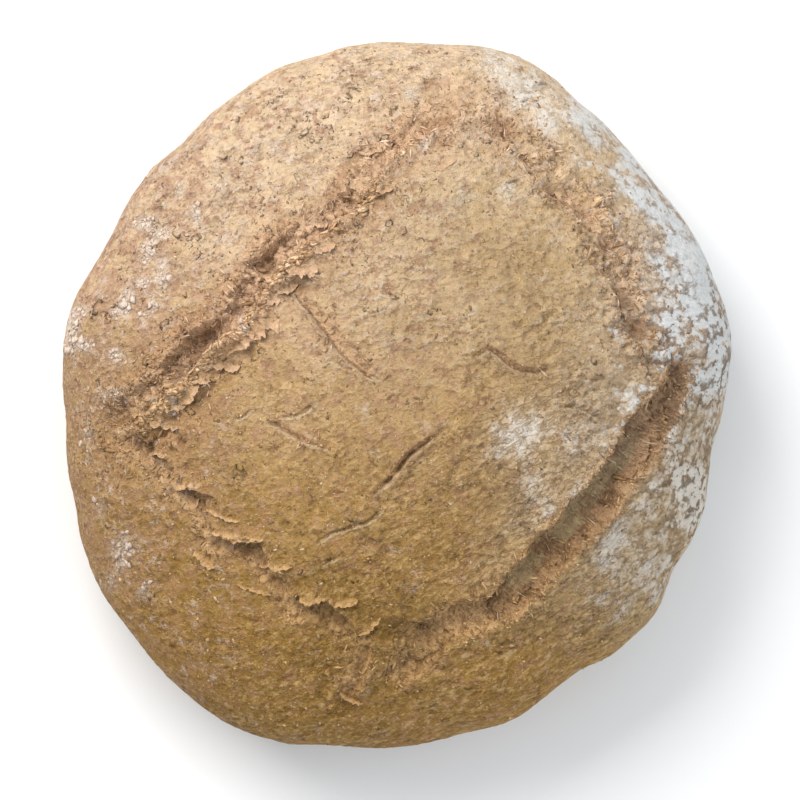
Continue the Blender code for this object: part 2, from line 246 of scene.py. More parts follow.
SLASHES = {
    "north west": Tear(
        ((-99, -9, 0.2), (-92, -6, 0.6), (-84, 0, 0.8), (-76, 8, 0.9), (-68, 17, 1),
         (-59, 24, 0.9), (-52, 32, 0.8), (-45, 42, 0.8), (-39, 51, 0.7), (-30, 57, 0.4),
         (-21, 61, 0.4), (-15, 67, 0.5), (-8, 78, 0.4), (0, 85, 0.4), (10, 92, 0.3),
         (19, 99, 0)),
        inner=3.0, floor=3.4, outer=3.2, depth=3.2, inner_lip=3.8, outer_lip=1.0,
        drop=0.0, lean=1.6, ragged=2.8),
    "north east": Tear(
        ((23, 100, 0), (32, 93, 0.7), (44, 83, 0.7), (53, 73, 1), (63, 65, 1),
         (69, 53, 0.9), (75, 45, 0.7), (78, 32, 0.8), (82, 20, 0.9), (87, 11, 1),
         (94, 5, 0.6), (97, 0, 0)),
        inner=5.0, floor=0.6, outer=5.5, depth=1.2, inner_lip=0.6, outer_lip=0.5,
        drop=0.3, lean=0.6, ragged=3.0),
    "south east": Tear(
        ((97, 13, 0), (94, 6, 0.5), (90, -2, 0.8), (84, -10, 0.9), (79, -19, 1),
         (73, -27, 1), (68, -33, 1), (61, -41, 1), (56, -48, 1), (49, -55, 1),
         (43, -63, 1), (36, -70, 0.8), (30, -74, 0.4), (25, -77, 0)),
        inner=3.8, floor=2.2, outer=5.6, depth=5.6, inner_lip=0.8, outer_lip=1.2,
        drop=0.0, lean=1.2, ragged=1.1),
    "south": Tear(
        ((42, -65, 0), (34, -70, 0.6), (25, -76, 1), (15, -80, 1), (7, -86, 1),
         (0, -94, 0.8), (-5, -102, 0)),
        inner=5.5, floor=1.5, outer=6.0, depth=3.0, inner_lip=0.8, outer_lip=1.2,
        drop=0.0, lean=0.9, ragged=1.5),
    "crown": Tear(
        ((-37, 36, 0), (-30, 27, 1), (-24, 20, 1), (-17, 12, 1), (-11, 7, 0.7), (-4, 5, 0)),
        inner=1.2, floor=0.4, outer=4.2, depth=2.4, inner_lip=1.5, outer_lip=0.2,
        drop=0.0, lean=0.5, ragged=0.9),
}

# %% Flaps, corner and cracks
FLAPS = (
    ((-11, -86, 0), (-17, -79, 0.7), (-24, -73, 0.9), (-33, -71, 1), (-38, -67, 0.8),
     (-43, -60, 0.2), (-45, -56, 0)),
    ((-36, -62, 0), (-44, -59, 0.8), (-48, -52, 0.9), (-56, -50, 1), (-62, -49, 1),
     (-67, -43, 0.6), (-69, -36, 0)),
    ((-63, -36, 0), (-71, -34, 1), (-77, -31, 0.9), (-80, -24, 0.7), (-86, -18, 0.8),
     (-92, -14, 0.8), (-98, -9, 0)),
)
FLAP_TEAR = Tear(None, inner=1.8, floor=0.8, outer=6.5, depth=1.7, inner_lip=1.6, outer_lip=0.0,
                 drop=1.4, lean=1.2, ragged=2.0)

CORNER = ((-20, -106, 0), (-16, -101, 0.8), (-13, -95, 1), (-11, -88, 1), (-10, -82, 0.4),
          (-7, -79, 0))
CORNER_TEAR = Tear(None, inner=1.6, floor=0.6, outer=5.0, depth=2.0, inner_lip=1.6, outer_lip=0.0,
                   drop=0.0, lean=0.8, ragged=0.8)

CRACKS = (
    ((-11, -35, 0), (-5, -31, 0.6), (0, -26, 1), (3, -21, 1), (8, -17, 0.6), (19, -9, 0)),
    ((25, 12, 0), (30, 16, 0.7), (36, 12, 1), (42, 8, 1), (47, 8, 0.9), (53, 9, 0)),
    ((-46, -9, 0), (-42, -10, 0.6), (-34, -15, 0.8), (-29, -17, 0.5), (-21, -18, 0)),
)
CRACK_TEAR = Tear(None, inner=1.3, floor=0.3, outer=1.5, depth=2.4, inner_lip=1.0, outer_lip=0.4,
                  drop=0.0, lean=0.3, ragged=0.6)

# %% Pockets, bumps and rubble
# Pockets and bumps beside the tears: x, y, length, width, turn in degrees, and height
PITS_AND_KNOBS = (
    (-67, 17, 8, 3.6, 50, -4.5), (-45, 47, 5, 3.2, 55, -4), (-46, 37, 5, 3, 60, -3.5),
    (-12, 66, 8, 2.6, 8, -2.8), (-24, 55, 5, 2.6, 25, -2.2), (-13, 82, 6, 2.2, 25, -2.2),
    (10, 90, 6, 2, 30, -1.8), (35, 90, 4, 3.4, -20, -3.2), (9, 105, 4, 2.2, 30, -1.5),
    (-95, -8, 5.5, 4.5, 20, -4.5), (-84, -17, 5, 3.4, -20, -3.4), (-68, -37, 5, 3.4, -20, -2),
    (-53, -54, 7, 3, -10, -2.4), (-42, -64, 7, 3, -15, -2.2), (-23, -77, 8, 3.6, -15, -3),
    (55, 68, 6, 3, -20, -2.2), (65, 62, 5, 2.6, -30, -2), (71, 52, 4, 3, -60, -1.8),
    (77, 34, 5, 2.4, -60, -1.8), (82, 23, 5, 3.4, -40, -2.4), (96, 7, 6, 5, 80, -3.6),
    (3, -81, 9, 3, 0, -3), (-17, -105, 3.5, 3.6, 60, -2.6), (7, -94, 6, 1.8, 12, -1.8),
    (-35, 37, 4, 2.4, 10, -2.2), (-68, 30, 8, 5, 45, 2), (-59, 15, 6, 3.4, 35, 1.6),
    (-73, 3, 6, 3, 45, 1.2), (-46, 24, 5, 3.4, 30, 1.4), (-33, 42, 6, 3, 0, 1.8),
    (-6, 70, 6, 2.6, 10, 1.2), (-51, 48, 5, 3, 40, 1.3), (82, 16, 4, 3, 0, 1.4),
    (88, 21, 3.5, 2.8, 30, 1.1), (17, 82, 5, 3, 30, 1.2), (50, 75, 4, 2.6, -30, 1),
)

# Where the crust beside a tear broke up into rubble: x, y, length, width, turn in degrees,
# and how much
RUBBLE = (
    (-86, -12, 17, 11, 10, 1), (-75, -28, 10, 8, -30, 0.7), (-36, 46, 12, 9, 45, 0.8),
    (-14, 68, 22, 9, 50, 0.9), (12, 92, 16, 9, 30, 0.7), (34, 90, 9, 7, -30, 0.7),
)

# %% The finest cracks
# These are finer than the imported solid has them
HAIR_CRACKS = (
    ((55, -5, 0), (60, -4, 1), (65, -6, 0.8), (70, -8, 0)),
    ((-44, -8, 0), (-35, -7, 0.8), (-30, -4, 0.8), (-27, -1, 0)),
    ((-30, -51, 0), (-22, -47, 0.8), (-16, -45, 0.9), (-11, -43, 0.8), (-4, -37, 0)),
    ((-28, -59, 0), (-23, -56, 0.7), (-19, -54, 0)),
    ((-7, 35, 0), (-3, 34, 1), (0, 33, 0)),
    ((40, 98, 0), (44, 100, 1), (48, 98, 0)),
    ((44, 103, 0), (48, 105, 1), (52, 106, 0)),
    ((35, 71, 0), (39, 72, 1), (42, 73, 0)),
    ((-57, -8, 0), (-53, -7, 0.8), (-49, -4, 0)),
)
HAIR_TEAR = Tear(None, inner=0.7, floor=0.1, outer=0.7, depth=0.9, inner_lip=0.35, outer_lip=0.1,
                 drop=0.0, lean=0.0, ragged=0.6)

# %% How torn each one looks
# How torn and shaggy each tear looks, how far beyond its opening the shagginess goes, in
# millimetres, and how olive its bottom is
Look = namedtuple("Look", "torn shaggy reach olive")
LOOKS = {
    "north west": Look(1.0, 1.0, 9.0, 0.0),
    "north east": Look(0.28, 0.7, 6.0, 0.5),
    "south east": Look(1.0, 1.0, 3.0, 1.0),
    "south": Look(0.6, 0.7, 2.0, 0.7),
    "crown": Look(0.5, 0.5, 1.5, 0.5),
}
FLAP_LOOK = Look(0.6, 0.7, 3.0, 0.7)
CRACK_LOOK = Look(0.55, 0.35, 1.5, 0.5)
HAIR_LOOK = Look(0.3, 0.0, 0.0, 0.3)


def all_tears():
    """Every tear, and how it looks."""
    for name, tear in SLASHES.items():
        yield tear, LOOKS[name]
    for line in FLAPS:
        yield FLAP_TEAR._replace(line=line), FLAP_LOOK
    yield CORNER_TEAR._replace(line=CORNER), FLAP_LOOK
    for line in CRACKS:
        yield CRACK_TEAR._replace(line=line), CRACK_LOOK
    for line in HAIR_CRACKS:
        yield HAIR_TEAR._replace(line=line), HAIR_LOOK


print(len(list(all_tears())), "tears and cracks")


# %% Distances from a tear
def beside(plan, line):
    """For points seen from above: how far each is to the left of a line of straight
    stretches, how far along it, how full the line is there, and which way is left."""
    line = np.array(line, float)
    best = np.full(len(plan), np.inf)
    side, along, full = np.zeros(len(plan)), np.zeros(len(plan)), np.zeros(len(plan))
    left = np.zeros((len(plan), 2))
    gone = 0.0
    for start, end in zip(line[:-1], line[1:]):
        length = np.linalg.norm(end[:2] - start[:2])
        ahead = (end[:2] - start[:2]) / length
        leftward = np.array([-ahead[1], ahead[0]])
        away = plan - start[:2]
        run = np.clip(away @ ahead, 0, length)
        distance = np.linalg.norm(away - run[:, None] * ahead, axis=1)
        closer = distance < best
        best = np.where(closer, distance, best)
        side = np.where(closer, np.copysign(distance, away @ leftward), side)
        along = np.where(closer, gone + run, along)
        full = np.where(closer, start[2] + (end[2] - start[2]) * run / length, full)
        left = np.where(closer[:, None], leftward, left)
        gone += length
    return side, along, full, left


# %% Unevenness and patches
def lumps(points, size, seed):
    """Smooth unevenness between -1 and 1, with lumps of this size."""
    away = Vector((17.3, 5.1, 9.7)) * seed
    return np.array([noise.noise(Vector(point) / size + away) for point in points.tolist()])


def ellipse_reach(plan, x, y, long, wide, turn):
    """How far out each point lies in an ellipse turned by some degrees: 1 is its outline."""
    c, s = math.cos(math.radians(turn)), math.sin(math.radians(turn))
    away = plan - (x, y)
    return np.hypot((away @ (c, s)) / long, (away @ (-s, c)) / wide)


def patches_on(plan, patches):
    """How much of something lies at each point seen from above, in soft-edged ellipses."""
    amount = np.zeros(len(plan))
    for *ellipse, much in patches:
        amount = np.maximum(amount, much * np.exp(-0.8 * ellipse_reach(plan, *ellipse) ** 2))
    return amount


# %% How uneven the tears are
Uneven = namedtuple("Uneven", "waver bristle deeper inner outer lips")


def unevenness(plan):
    """What makes the tears ragged, from place to place. The bristle is finer than the
    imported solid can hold."""
    spots = np.column_stack([plan, np.zeros(len(plan))])
    waver = [lumps(spots, 13.0, k) + 0.5 * lumps(spots, 5.0, k + 4) for k in (1, 2)]
    bristle = [0.30 * lumps(spots, 2.6, k) + 0.16 * lumps(spots, 1.3, k + 3) for k in (31, 32)]
    return Uneven(
        np.stack(waver, axis=1),
        np.stack(bristle, axis=1),
        1.0 + 0.45 * lumps(spots, 17.0, 9),
        1.0 + 0.4 * lumps(spots, 21.0, 10),
        1.0 + 0.4 * lumps(spots, 15.0, 11),
        1.0 + 0.9 * lumps(spots, 7.0, 12),
    )


# %% The relief of one tear
THIN_END = 0.4  # how wide a tear is where it dies out, as a share
LIP_WIDTH = 3.0
SHORT_SLOPE = 4.0  # a tear whose inner slope is shorter than this has a narrower lip
CREST = 1.5  # only lips higher than this split into flakes
BEHIND, TROUGH = 5.0, 0.35  # a raised lip has a low trough behind it: its width, and its share
DROP_REACH = 22.0  # over how far the lower crust outside a tear comes level again
CRUST_STEP = 0.25  # share of a tear's depth that is the broken edge of the crust


def broken_slope(share):
    """Rise from the bottom of a tear, at 0, to its lip, at 1: a slope, and then the step
    that is the broken edge of the crust."""
    share = np.clip(share, 0, 1)
    return (1 - CRUST_STEP) * share**1.2 + CRUST_STEP * smooth((share - 0.75) / 0.25)


Torn = namedtuple("Torn", "height shift outside deep crest along side left full")


def tear_relief(plan, tear, uneven):
    """Height and sideways shift that a tear gives to the crust, and how far outside its
    opening each point lies."""
    ragged = tear.ragged * (uneven.waver + uneven.bristle)
    side, along, full, left = beside(plan + ragged, tear.line)
    width = THIN_END + (1.0 - THIN_END) * full
    inner = tear.inner * width * uneven.inner
    outer = tear.outer * width * uneven.outer
    bottom = tear.floor * width
    inside_rise = broken_slope((-side - bottom) / inner)
    rise = np.maximum(inside_rise, broken_slope((side - bottom) / outer))
    height = -tear.depth * full * uneven.deeper * (1.0 - rise)
    lip = LIP_WIDTH * min(1.0, tear.inner / SHORT_SLOPE)
    inner_lip = np.exp(-(((side + bottom + inner + 0.4 * lip) / lip) ** 2))
    outer_lip = np.exp(-(((side - bottom - outer - 0.4 * lip) / lip) ** 2))
    height += full * uneven.lips * (tear.inner_lip * inner_lip + tear.outer_lip * outer_lip)
    behind = np.exp(-(((side + bottom + inner + 0.4 * lip + BEHIND) / BEHIND) ** 2))
    height -= TROUGH * full * uneven.lips * tear.inner_lip * behind
    fall = smooth((side + bottom + inner) / inner) * np.exp(-np.maximum(side, 0) / DROP_REACH)
    height -= tear.drop * full * fall
    shift = (tear.lean * full * (inner_lip - 0.5 * outer_lip))[:, None] * left
    outside = np.maximum(-side - bottom - inner, side - bottom - outer)
    crest = full * inner_lip * np.clip(tear.inner_lip - CREST, 0.0, 1.0)
    return Torn(height, shift, outside, full * (1.0 - rise), crest, along, side, left, full)


# %% Pits and knobs
def pit_relief(plan):
    """Height of the pits, which are below 0, and of the knobs beside the tears."""
    height = np.zeros(len(plan))
    for *ellipse, rise in PITS_AND_KNOBS:
        height += rise * np.exp(-(ellipse_reach(plan, *ellipse) ** 2))
    return height


# %% [markdown]
# ## The whole surface
# The torn crumb is shaggy: it broke into crumbly blocks, and its strands run up the walls,
# across the tear, because that is the way the dough was pulled apart. The crust between is
# leathery, with dimples where small blisters sank. The last function of this step gives
# the finished surface, and also what the paint needs to know at each point.

# %% Blocks and dimples
def cells(points, size, seed):
    """The cell of this size that each point lies in: its own number from 0 to 1, how far
    the point is from its middle, and how far from the next cell, in cell sizes."""
    away = Vector((7.7, 3.3, 1.9)) * seed
    own, middle, border = (np.zeros(len(points)) for _ in range(3))
    for number, point in enumerate(points.tolist()):
        distance, centres = noise.voronoi(Vector(point) / size + away)
        own[number] = 0.5 + 0.5 * noise.cell(centres[0] * 19.0)
        middle[number] = distance[0]
        border[number] = distance[1] - distance[0]
    return own, middle, border


def blocks(points, size, seed):
    """Crumbly blocks at different heights, with cracks between them, about -1 to 1."""
    own, _, border = cells(points, size, seed)
    return 2.0 * own - 1.0 - 0.9 * np.exp(-((border / 0.12) ** 2))


def dimples(points, size, seed):
    """Round hollows in one in four cells, between 0 and 1."""
    own, middle, _ = cells(points, size, seed)
    return np.where(own > 0.75, np.clip(1.0 - middle / 0.42, 0.0, 1.0), 0.0)


# %% Texture of crumb and of leather
def torn_texture(body, along, across):
    """Relief of torn crumb: strands that run across the tear, and blocks."""
    strands = np.column_stack([along / 2.2, across / 5.0, np.full(len(body), 3.0)])
    shreds = 0.3 - 0.6 * np.abs(lumps(strands, 1.0, 41)) + 1.3 * lumps(body, 4.2, 42)
    shreds += 0.8 * lumps(body, 2.2, 43) + 0.8 * blocks(body, 3.2, 7) + 0.4 * lumps(body, 1.2, 44)
    return shreds + 0.8 * blocks(body, 6.0, 9)


def leather_texture(body):
    """Relief of the crust between the tears: lumps and dimples, in places broken like scales."""
    leather = 0.35 * lumps(body, 5.5, 51) + 0.35 * lumps(body, 2.4, 52)
    leather -= 0.4 * dimples(body, 5.0, 5)
    scaly = smooth(0.45 + 1.6 * lumps(body, 14.0, 53) + 0.5 * lumps(body, 5.0, 54))
    return leather + scaly * (0.45 * blocks(body, 2.8, 8) + 0.4 * lumps(body, 1.5, 55))


# %% What the tears do to the crust
PIT_DEPTH = 3.0  # how deep a pit has to be to count as wholly hollow
STRONG = 1.8  # a tear looks fully torn well before it is fully open
EDGE, EDGE_WIDTH = 0.5, 1.2  # where torn crumb ends outside an opening, and over how far
LIP_PLACE, LIP_SPREAD = 0.6, 1.4  # how far outside an opening its lip lies, and how wide it is
HAIR_WIDTH = 1.5  # a tear with a narrower inner slope than this is a hair crack
SPLIT_REACH, SPLIT_FADE = 4.0, 3.0  # how far from a hair crack its pale edge can lie

# What the paint needs to know, from 0 to 1 at each point
FADING = ("torn", "deep", "lip", "crest", "shaggy", "heated", "olive", "hollow", "split")
Tearing = namedtuple("Tearing", ("height", "shift", *FADING, "along", "across", "outward"))


def tearing(plan):
    """All tears and pits together, at points seen from above. Height and shift move the
    crust; along, across and outward say where the nearest tear is and which way is out."""
    uneven = unevenness(plan)
    height = pit_relief(plan)
    hollow = np.clip(-height / PIT_DEPTH, 0.0, 1.0)
    shift = np.zeros_like(plan)
    torn, deep, lip, crest, shaggy, heated = (np.zeros(len(plan)) for _ in range(6))
    olive, split, along, across = (np.zeros(len(plan)) for _ in range(4))
    outward = np.zeros((len(plan), 2))
    nearest = np.full(len(plan), np.inf)
    for tear, look in all_tears():
        found = tear_relief(plan, tear, uneven)
        height += found.height
        shift += found.shift
        strength = np.minimum(1.0, STRONG * found.full)
        within = smooth((EDGE - found.outside) / EDGE_WIDTH)
        torn = np.maximum(torn, look.torn * strength * within)
        deep = np.maximum(deep, look.torn * found.deep)
        crest = np.maximum(crest, found.crest)
        olive_here = look.olive * (strength * within) * (0.5 * look.olive**3 + 0.5 * found.deep)
        olive = np.maximum(olive, olive_here)
        on_lip = np.exp(-(((found.outside - LIP_PLACE) / LIP_SPREAD) ** 2))
        lip = np.maximum(lip, look.torn * strength * on_lip)
        near = smooth((look.reach - found.outside) / (look.reach + 1.0))
        bare = 1.0 - 0.8 * look.olive * found.deep**3
        shaggy = np.maximum(shaggy, look.shaggy * strength * near * bare)
        heated = np.maximum(heated, look.torn * (1.0 - 0.7 * look.olive) * strength * near)
        if tear.inner < HAIR_WIDTH:
            beside_it = smooth((SPLIT_REACH - np.abs(found.side)) / SPLIT_FADE)
            split = np.maximum(split, strength * beside_it)
        closer = found.outside < nearest
        nearest = np.where(closer, found.outside, nearest)
        along = np.where(closer, found.along, along)
        across = np.where(closer, found.side, across)
        outward = np.where(closer[:, None], found.left, outward)
    rubble = patches_on(plan, RUBBLE)
    shaggy = np.maximum(shaggy, rubble)
    heated = np.maximum(heated, rubble)
    return Tearing(height, shift, torn, deep, lip, crest, shaggy, heated, olive, hollow, split,
                   along, across, outward)


# %% The finished surface
LUMPS = ((62.0, 3.0), (27.0, 1.5), (12.0, 0.6))  # how wide, and how high
FADE_START, FADE_END = 0.86, 0.99  # share of the girth over which the tears die out
FOOT_CALM = 25.0  # length of skin above the foot over which the lumps die out
CALM_START, CALM_WIDTH = 0.7, 0.25  # shares of the girth over which the leather evens out

Surface = namedtuple("Surface", ("points", *FADING, "rough", "along", "across", "outward"))


def surface(chart):
    """The finished surface over the chart: its points, what the paint needs, the roughness
    of the crust in millimetres, and where the nearest tear is."""
    body, normal = skin_and_normal(chart)
    run = np.hypot(*chart.T)
    alive = 1.0 - smooth((run / GIRTH_RUN - FADE_START) / (FADE_END - FADE_START))
    calm = 1.0 - 0.6 * smooth((run / GIRTH_RUN - CALM_START) / CALM_WIDTH)
    firm = smooth((WHOLE_RUN - run) / FOOT_CALM)
    tears = tearing(body[:, :2])
    shreds = torn_texture(body, tears.along, tears.across)
    leather = leather_texture(body)
    rough = tears.shaggy * shreds + (1.0 - tears.shaggy) * leather
    texture = tears.shaggy * shreds + (1.0 - tears.torn) * leather * alive * calm
    height = (tears.height + texture) * alive
    for number, (size, rise) in enumerate(LUMPS):
        height += firm * rise * lumps(body, size, 100.0 + number)
    height += firm * (1.0 - alive) * leather * calm
    moved = body + height[:, None] * normal
    moved[:, :2] += tears.shift * alive[:, None]
    fading = [getattr(tears, name) * alive for name in FADING]
    return Surface(moved, *fading, rough, tears.along, tears.across, tears.outward)


# %% [markdown]
# ## The mesh
# Points of a triangular lattice cover the chart: fine along the tears, wider apart on the
# open crust, and wider again below, where the loaf tucks under. A Delaunay triangulation
# joins them, and a second one closes the flat underside on the same rim. Subdividing a
# coarse mesh would be simpler, but would spend as many points on the plain crust as on the
# tears.

# %% Spots on the chart
FINE, OPEN, LOW, FLAT = 0.62, 0.90, 2.2, 2.5  # how far apart the points lie
OPEN_RUN = GIRTH_RUN * 1.03  # where the open crust hands over to the wider points below
NEAR_TEAR = 2.5  # how far beyond a tear its fine points go
RIM_POINTS = 420


def lattice(spacing, radius):
    """Points of a triangular lattice over a disc."""
    reach = int(radius / spacing * 1.2) + 2
    column, row = np.meshgrid(np.arange(-reach, reach + 1), np.arange(-reach, reach + 1))
    column, row = column.ravel(), row.ravel()
    spots = spacing * np.column_stack([column + row / 2, row * math.sqrt(3) / 2])
    return spots[np.hypot(*spots.T) < radius]


def near_tear(chart, margin):
    """Which points of the chart lie in a tear, or this close to one."""
    plan = skin(chart)[:, :2]
    near = np.zeros(len(chart), bool)
    for tear, _ in all_tears():
        side, _, full, _ = beside(plan, tear.line)
        inside = side > -tear.floor - tear.inner - margin
        inside &= side < tear.floor + tear.outer + margin
        near |= inside & (full > 0)
    return near & (np.hypot(*chart.T) < GIRTH_RUN)


# %% Points of the crust
turn = np.linspace(0, 2 * math.pi, RIM_POINTS, endpoint=False)
rim = WHOLE_RUN * np.column_stack([np.cos(turn), np.sin(turn)])
fine = lattice(FINE, GIRTH_RUN)
fine = fine[near_tear(fine, NEAR_TEAR)]
wider = lattice(OPEN, OPEN_RUN)
wider = wider[~near_tear(wider, NEAR_TEAR + 0.4 * FINE)]
low = lattice(LOW, WHOLE_RUN - 1.0)
low = low[np.hypot(*low.T) > OPEN_RUN + 1.0]
chart = np.concatenate([rim, fine, wider, low])
top = surface(chart)
top.points[:RIM_POINTS, 2] = 0.0
print(len(fine), "points near the tears,", len(wider), "on open crust,", len(low), "below")


# %% Triangles and the underside
def triangles(spots, boundary_count):
    """Triangles over flat points, the first of which are the boundary in order."""
    loop = [(i, (i + 1) % boundary_count) for i in range(boundary_count)]
    result = delaunay_2d_cdt([Vector(spot) for spot in spots.tolist()], loop, [], 1, 1e-6)
    return np.array(result[2])


base_spots = lattice(FLAT, MEAN_RADIUS * FOOT_SHARE - 4.0)
base = np.column_stack([base_spots, np.zeros(len(base_spots))])
flat = np.concatenate([top.points[:RIM_POINTS, :2], base_spots])
top_faces = triangles(chart, RIM_POINTS)
base_faces = triangles(flat, RIM_POINTS)[:, ::-1]
base_faces = np.where(base_faces < RIM_POINTS, base_faces, base_faces + len(chart) - RIM_POINTS)
crust_points = np.concatenate([top.points, base]) * MM
crust_faces = np.concatenate([top_faces, base_faces])
print(len(crust_faces), "triangles in the crust")

# %% [markdown]
# ## Where flour lay
# The loaf rose in a floured basket and kept some of the flour, most along its right side.
# Each patch is an ellipse seen from above; the paint breaks it up along the crust's cracks.
# On the sides the patches run on unevenly, so that none ends in a straight seam.

# %% Flour patches
FLOUR = (  # x, y, length, width, turn in degrees, and how much
    (34, 112, 9, 5, -15, 0.75), (44, 103, 12, 8, -35, 0.9), (50, 95, 9, 6, -30, 0.8),
    (63, 94, 9, 6, -40, 1.1), (67, 86, 5, 4, -45, 0.8), (80, 80, 14, 4, -48, 1.1),
    (74, 74, 6, 5, -50, 0.6), (82, 67, 10, 4, -52, 0.95), (91, 61, 14, 4.5, -55, 1),
    (89, 44, 8, 4, -60, 0.8), (99, 46, 16, 7, -65, 1.2), (102, 34, 12, 8, -75, 1.2),
    (93, 24, 7, 4.5, -60, 0.9), (107, 22, 12, 4, -82, 1), (91, 13, 4, 4, 0, 0.8),
    (109, 10, 12, 4, 85, 0.9), (104, 3, 5, 6, 0, 0.8), (95, -7, 6, 2, 60, 0.7),
    (97, -17, 6, 5, 0, 0.35), (105, -19, 10, 2, 80, 0.4), (99, -32, 9, 7, 90, 0.95),
    (101, -41, 6, 4, 75, 0.9), (94, -43, 4, 3, 0, 0.7), (87, -32, 5, 2.5, 20, 0.7),
    (82, -38, 4, 2.5, 40, 0.5), (90, -58, 8, 2.5, 70, 0.65), (89, -66, 6, 3, 55, 0.7),
    (73, -51, 12, 5, 52, 0.8), (80, -61, 19, 11, 52, 0.45), (70, -13, 4.5, 3, 60, 0.6),
    (78, 0, 4.5, 3, 50, 0.5), (74, -5, 3, 2, 50, 0.6), (61, -30, 4.5, 2, 55, 0.6),
    (51, -39, 4, 2.5, 50, 0.6), (34, -13, 5, 4.5, 0, 0.9), (40, -14, 13, 9, 40, 0.72),
    (39, -7, 7, 6, 0, 0.45), (37, 70, 4, 3, 0, 0.5), (38, 81, 3, 4, 0, 0.35),
    (26, 90, 5, 4, 0, 0.4), (-7, 76, 5, 2, 45, 0.7), (8, 85, 3, 2.5, 45, 0.5),
    (4, 102, 3, 2.5, 0, 0.45), (22, 68, 3, 2, -60, 0.4), (76, 24, 5, 3, 50, 0.4),
    (63, 79, 4, 2, 0, 0.55), (-86, 58, 3.5, 3, 0, 0.9), (-81, 55, 3.5, 2.5, 0, 0.75),
    (-69, 61, 4, 2, 90, 0.75), (-85, 49, 6, 2.5, 65, 1), (-80, 45, 4, 2.5, 60, 0.6),
    (-87, 38, 2.6, 2.2, 0, 0.8), (-81, 39, 3, 2.6, 0, 1), (-93, 31, 5, 3, 80, 0.85),
    (-96, 28, 2.5, 2, 0, 0.7), (-102, 34, 4, 2, 0, 0.5), (-108, 29, 3, 2.5, 0, 0.6),
    (-84, 31, 4, 1.8, 90, 0.75), (-87, 25, 4, 1.8, 90, 0.55), (-112, 23, 8, 3.5, 80, 1),
    (-108, 17, 5, 3, 0, 0.8), (-96, 13, 3.5, 3, 0, 0.6), (-97, -1, 6, 3, 0, 0.7),
    (-53, 24, 5, 1.6, -70, 1), (-77, -3, 4, 2.6, 90, 0.8), (-93, -56, 4, 4, 0, 0.5),
    (-93, -47, 4, 2.5, 90, 0.4), (-37, 52, 2, 2, 0, 0.6), (-29, 49, 2.5, 2, 30, 0.5),
    (-42, 83, 3, 2.5, 0, 0.5), (-74, 70, 3, 3, 0, 0.5), (-60, 70, 5, 3, 0, 0.4),
    (72, -16, 14, 1.6, 56, 0.5), (61, -32, 10, 1.6, 50, 0.7), (80, -2, 8, 2, 55, 0.6),
    (62, -16, 17, 9, 52, 0.42), (48, -32, 14, 8, 50, 0.38), (-94, -54, 9, 6, 70, 0.55),
    (-98, -64, 6, 4, 50, 0.5), (-86, -66, 5, 3, 60, 0.5), (-103, -38, 8, 4, 80, 0.4),
    (-106, -16, 8, 4, 80, 0.4),
)


# %% Make the crust
def make_mesh(name, points, faces):
    mesh = bpy.data.meshes.new(name)
    mesh.from_pydata(points.tolist(), [], faces.tolist())
    mesh.shade_smooth()
    made = bpy.data.objects.new(name, mesh)
    scene.collection.objects.link(made)
    return made


def note(mesh, name, values):
    """Keeps a number at each point of a mesh, for its paint to read."""
    padded = np.zeros(len(mesh.vertices), np.float32)
    padded[: len(values)] = values
    mesh.attributes.new(name, "FLOAT", "POINT").data.foreach_set("value", padded)


SIDE_TOP, SIDE_FADE = 50.0, 20.0  # below this height the patches of flour wander
SIDE_DRIFT = 12.0  # by about this much

crust = make_mesh("crust", crust_points, crust_faces)
for name in Surface._fields[1:-1]:
    note(crust.data, name, getattr(top, name))
on_side = smooth((SIDE_TOP - top.points[:, 2]) / SIDE_FADE)
drift = np.column_stack([lumps(top.points, 16.0, 91), lumps(top.points, 16.0, 92)])
drifted = top.points[:, :2] + SIDE_DRIFT * drift * on_side[:, None]
note(crust.data, "flour", patches_on(drifted, FLOUR))
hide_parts("loaf")
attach(crust, "root")

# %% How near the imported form
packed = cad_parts["loaf"]
corners = [point.co for point in packed.data.vertices]
tree = BVHTree.FromPolygons(corners, [face.vertices for face in packed.data.polygons])
sample = crust_points[:: max(1, len(crust_points) // 4000)]
off = np.array([tree.find_nearest(Vector(point))[3] for point in sample.tolist()]) / MM
print("from the packed solid, mm: mean", off.mean().round(2), "and at most", off.max().round(2))


# %% [markdown]
# ## Mixing paint
# A material is arithmetic on numbers that vary over the surface. Wrapping a socket in a
# small class lets that arithmetic be written as Python: each sum or product adds a node.
# Colours can't go through Math nodes, which turn them grey, so they get helpers of their own.

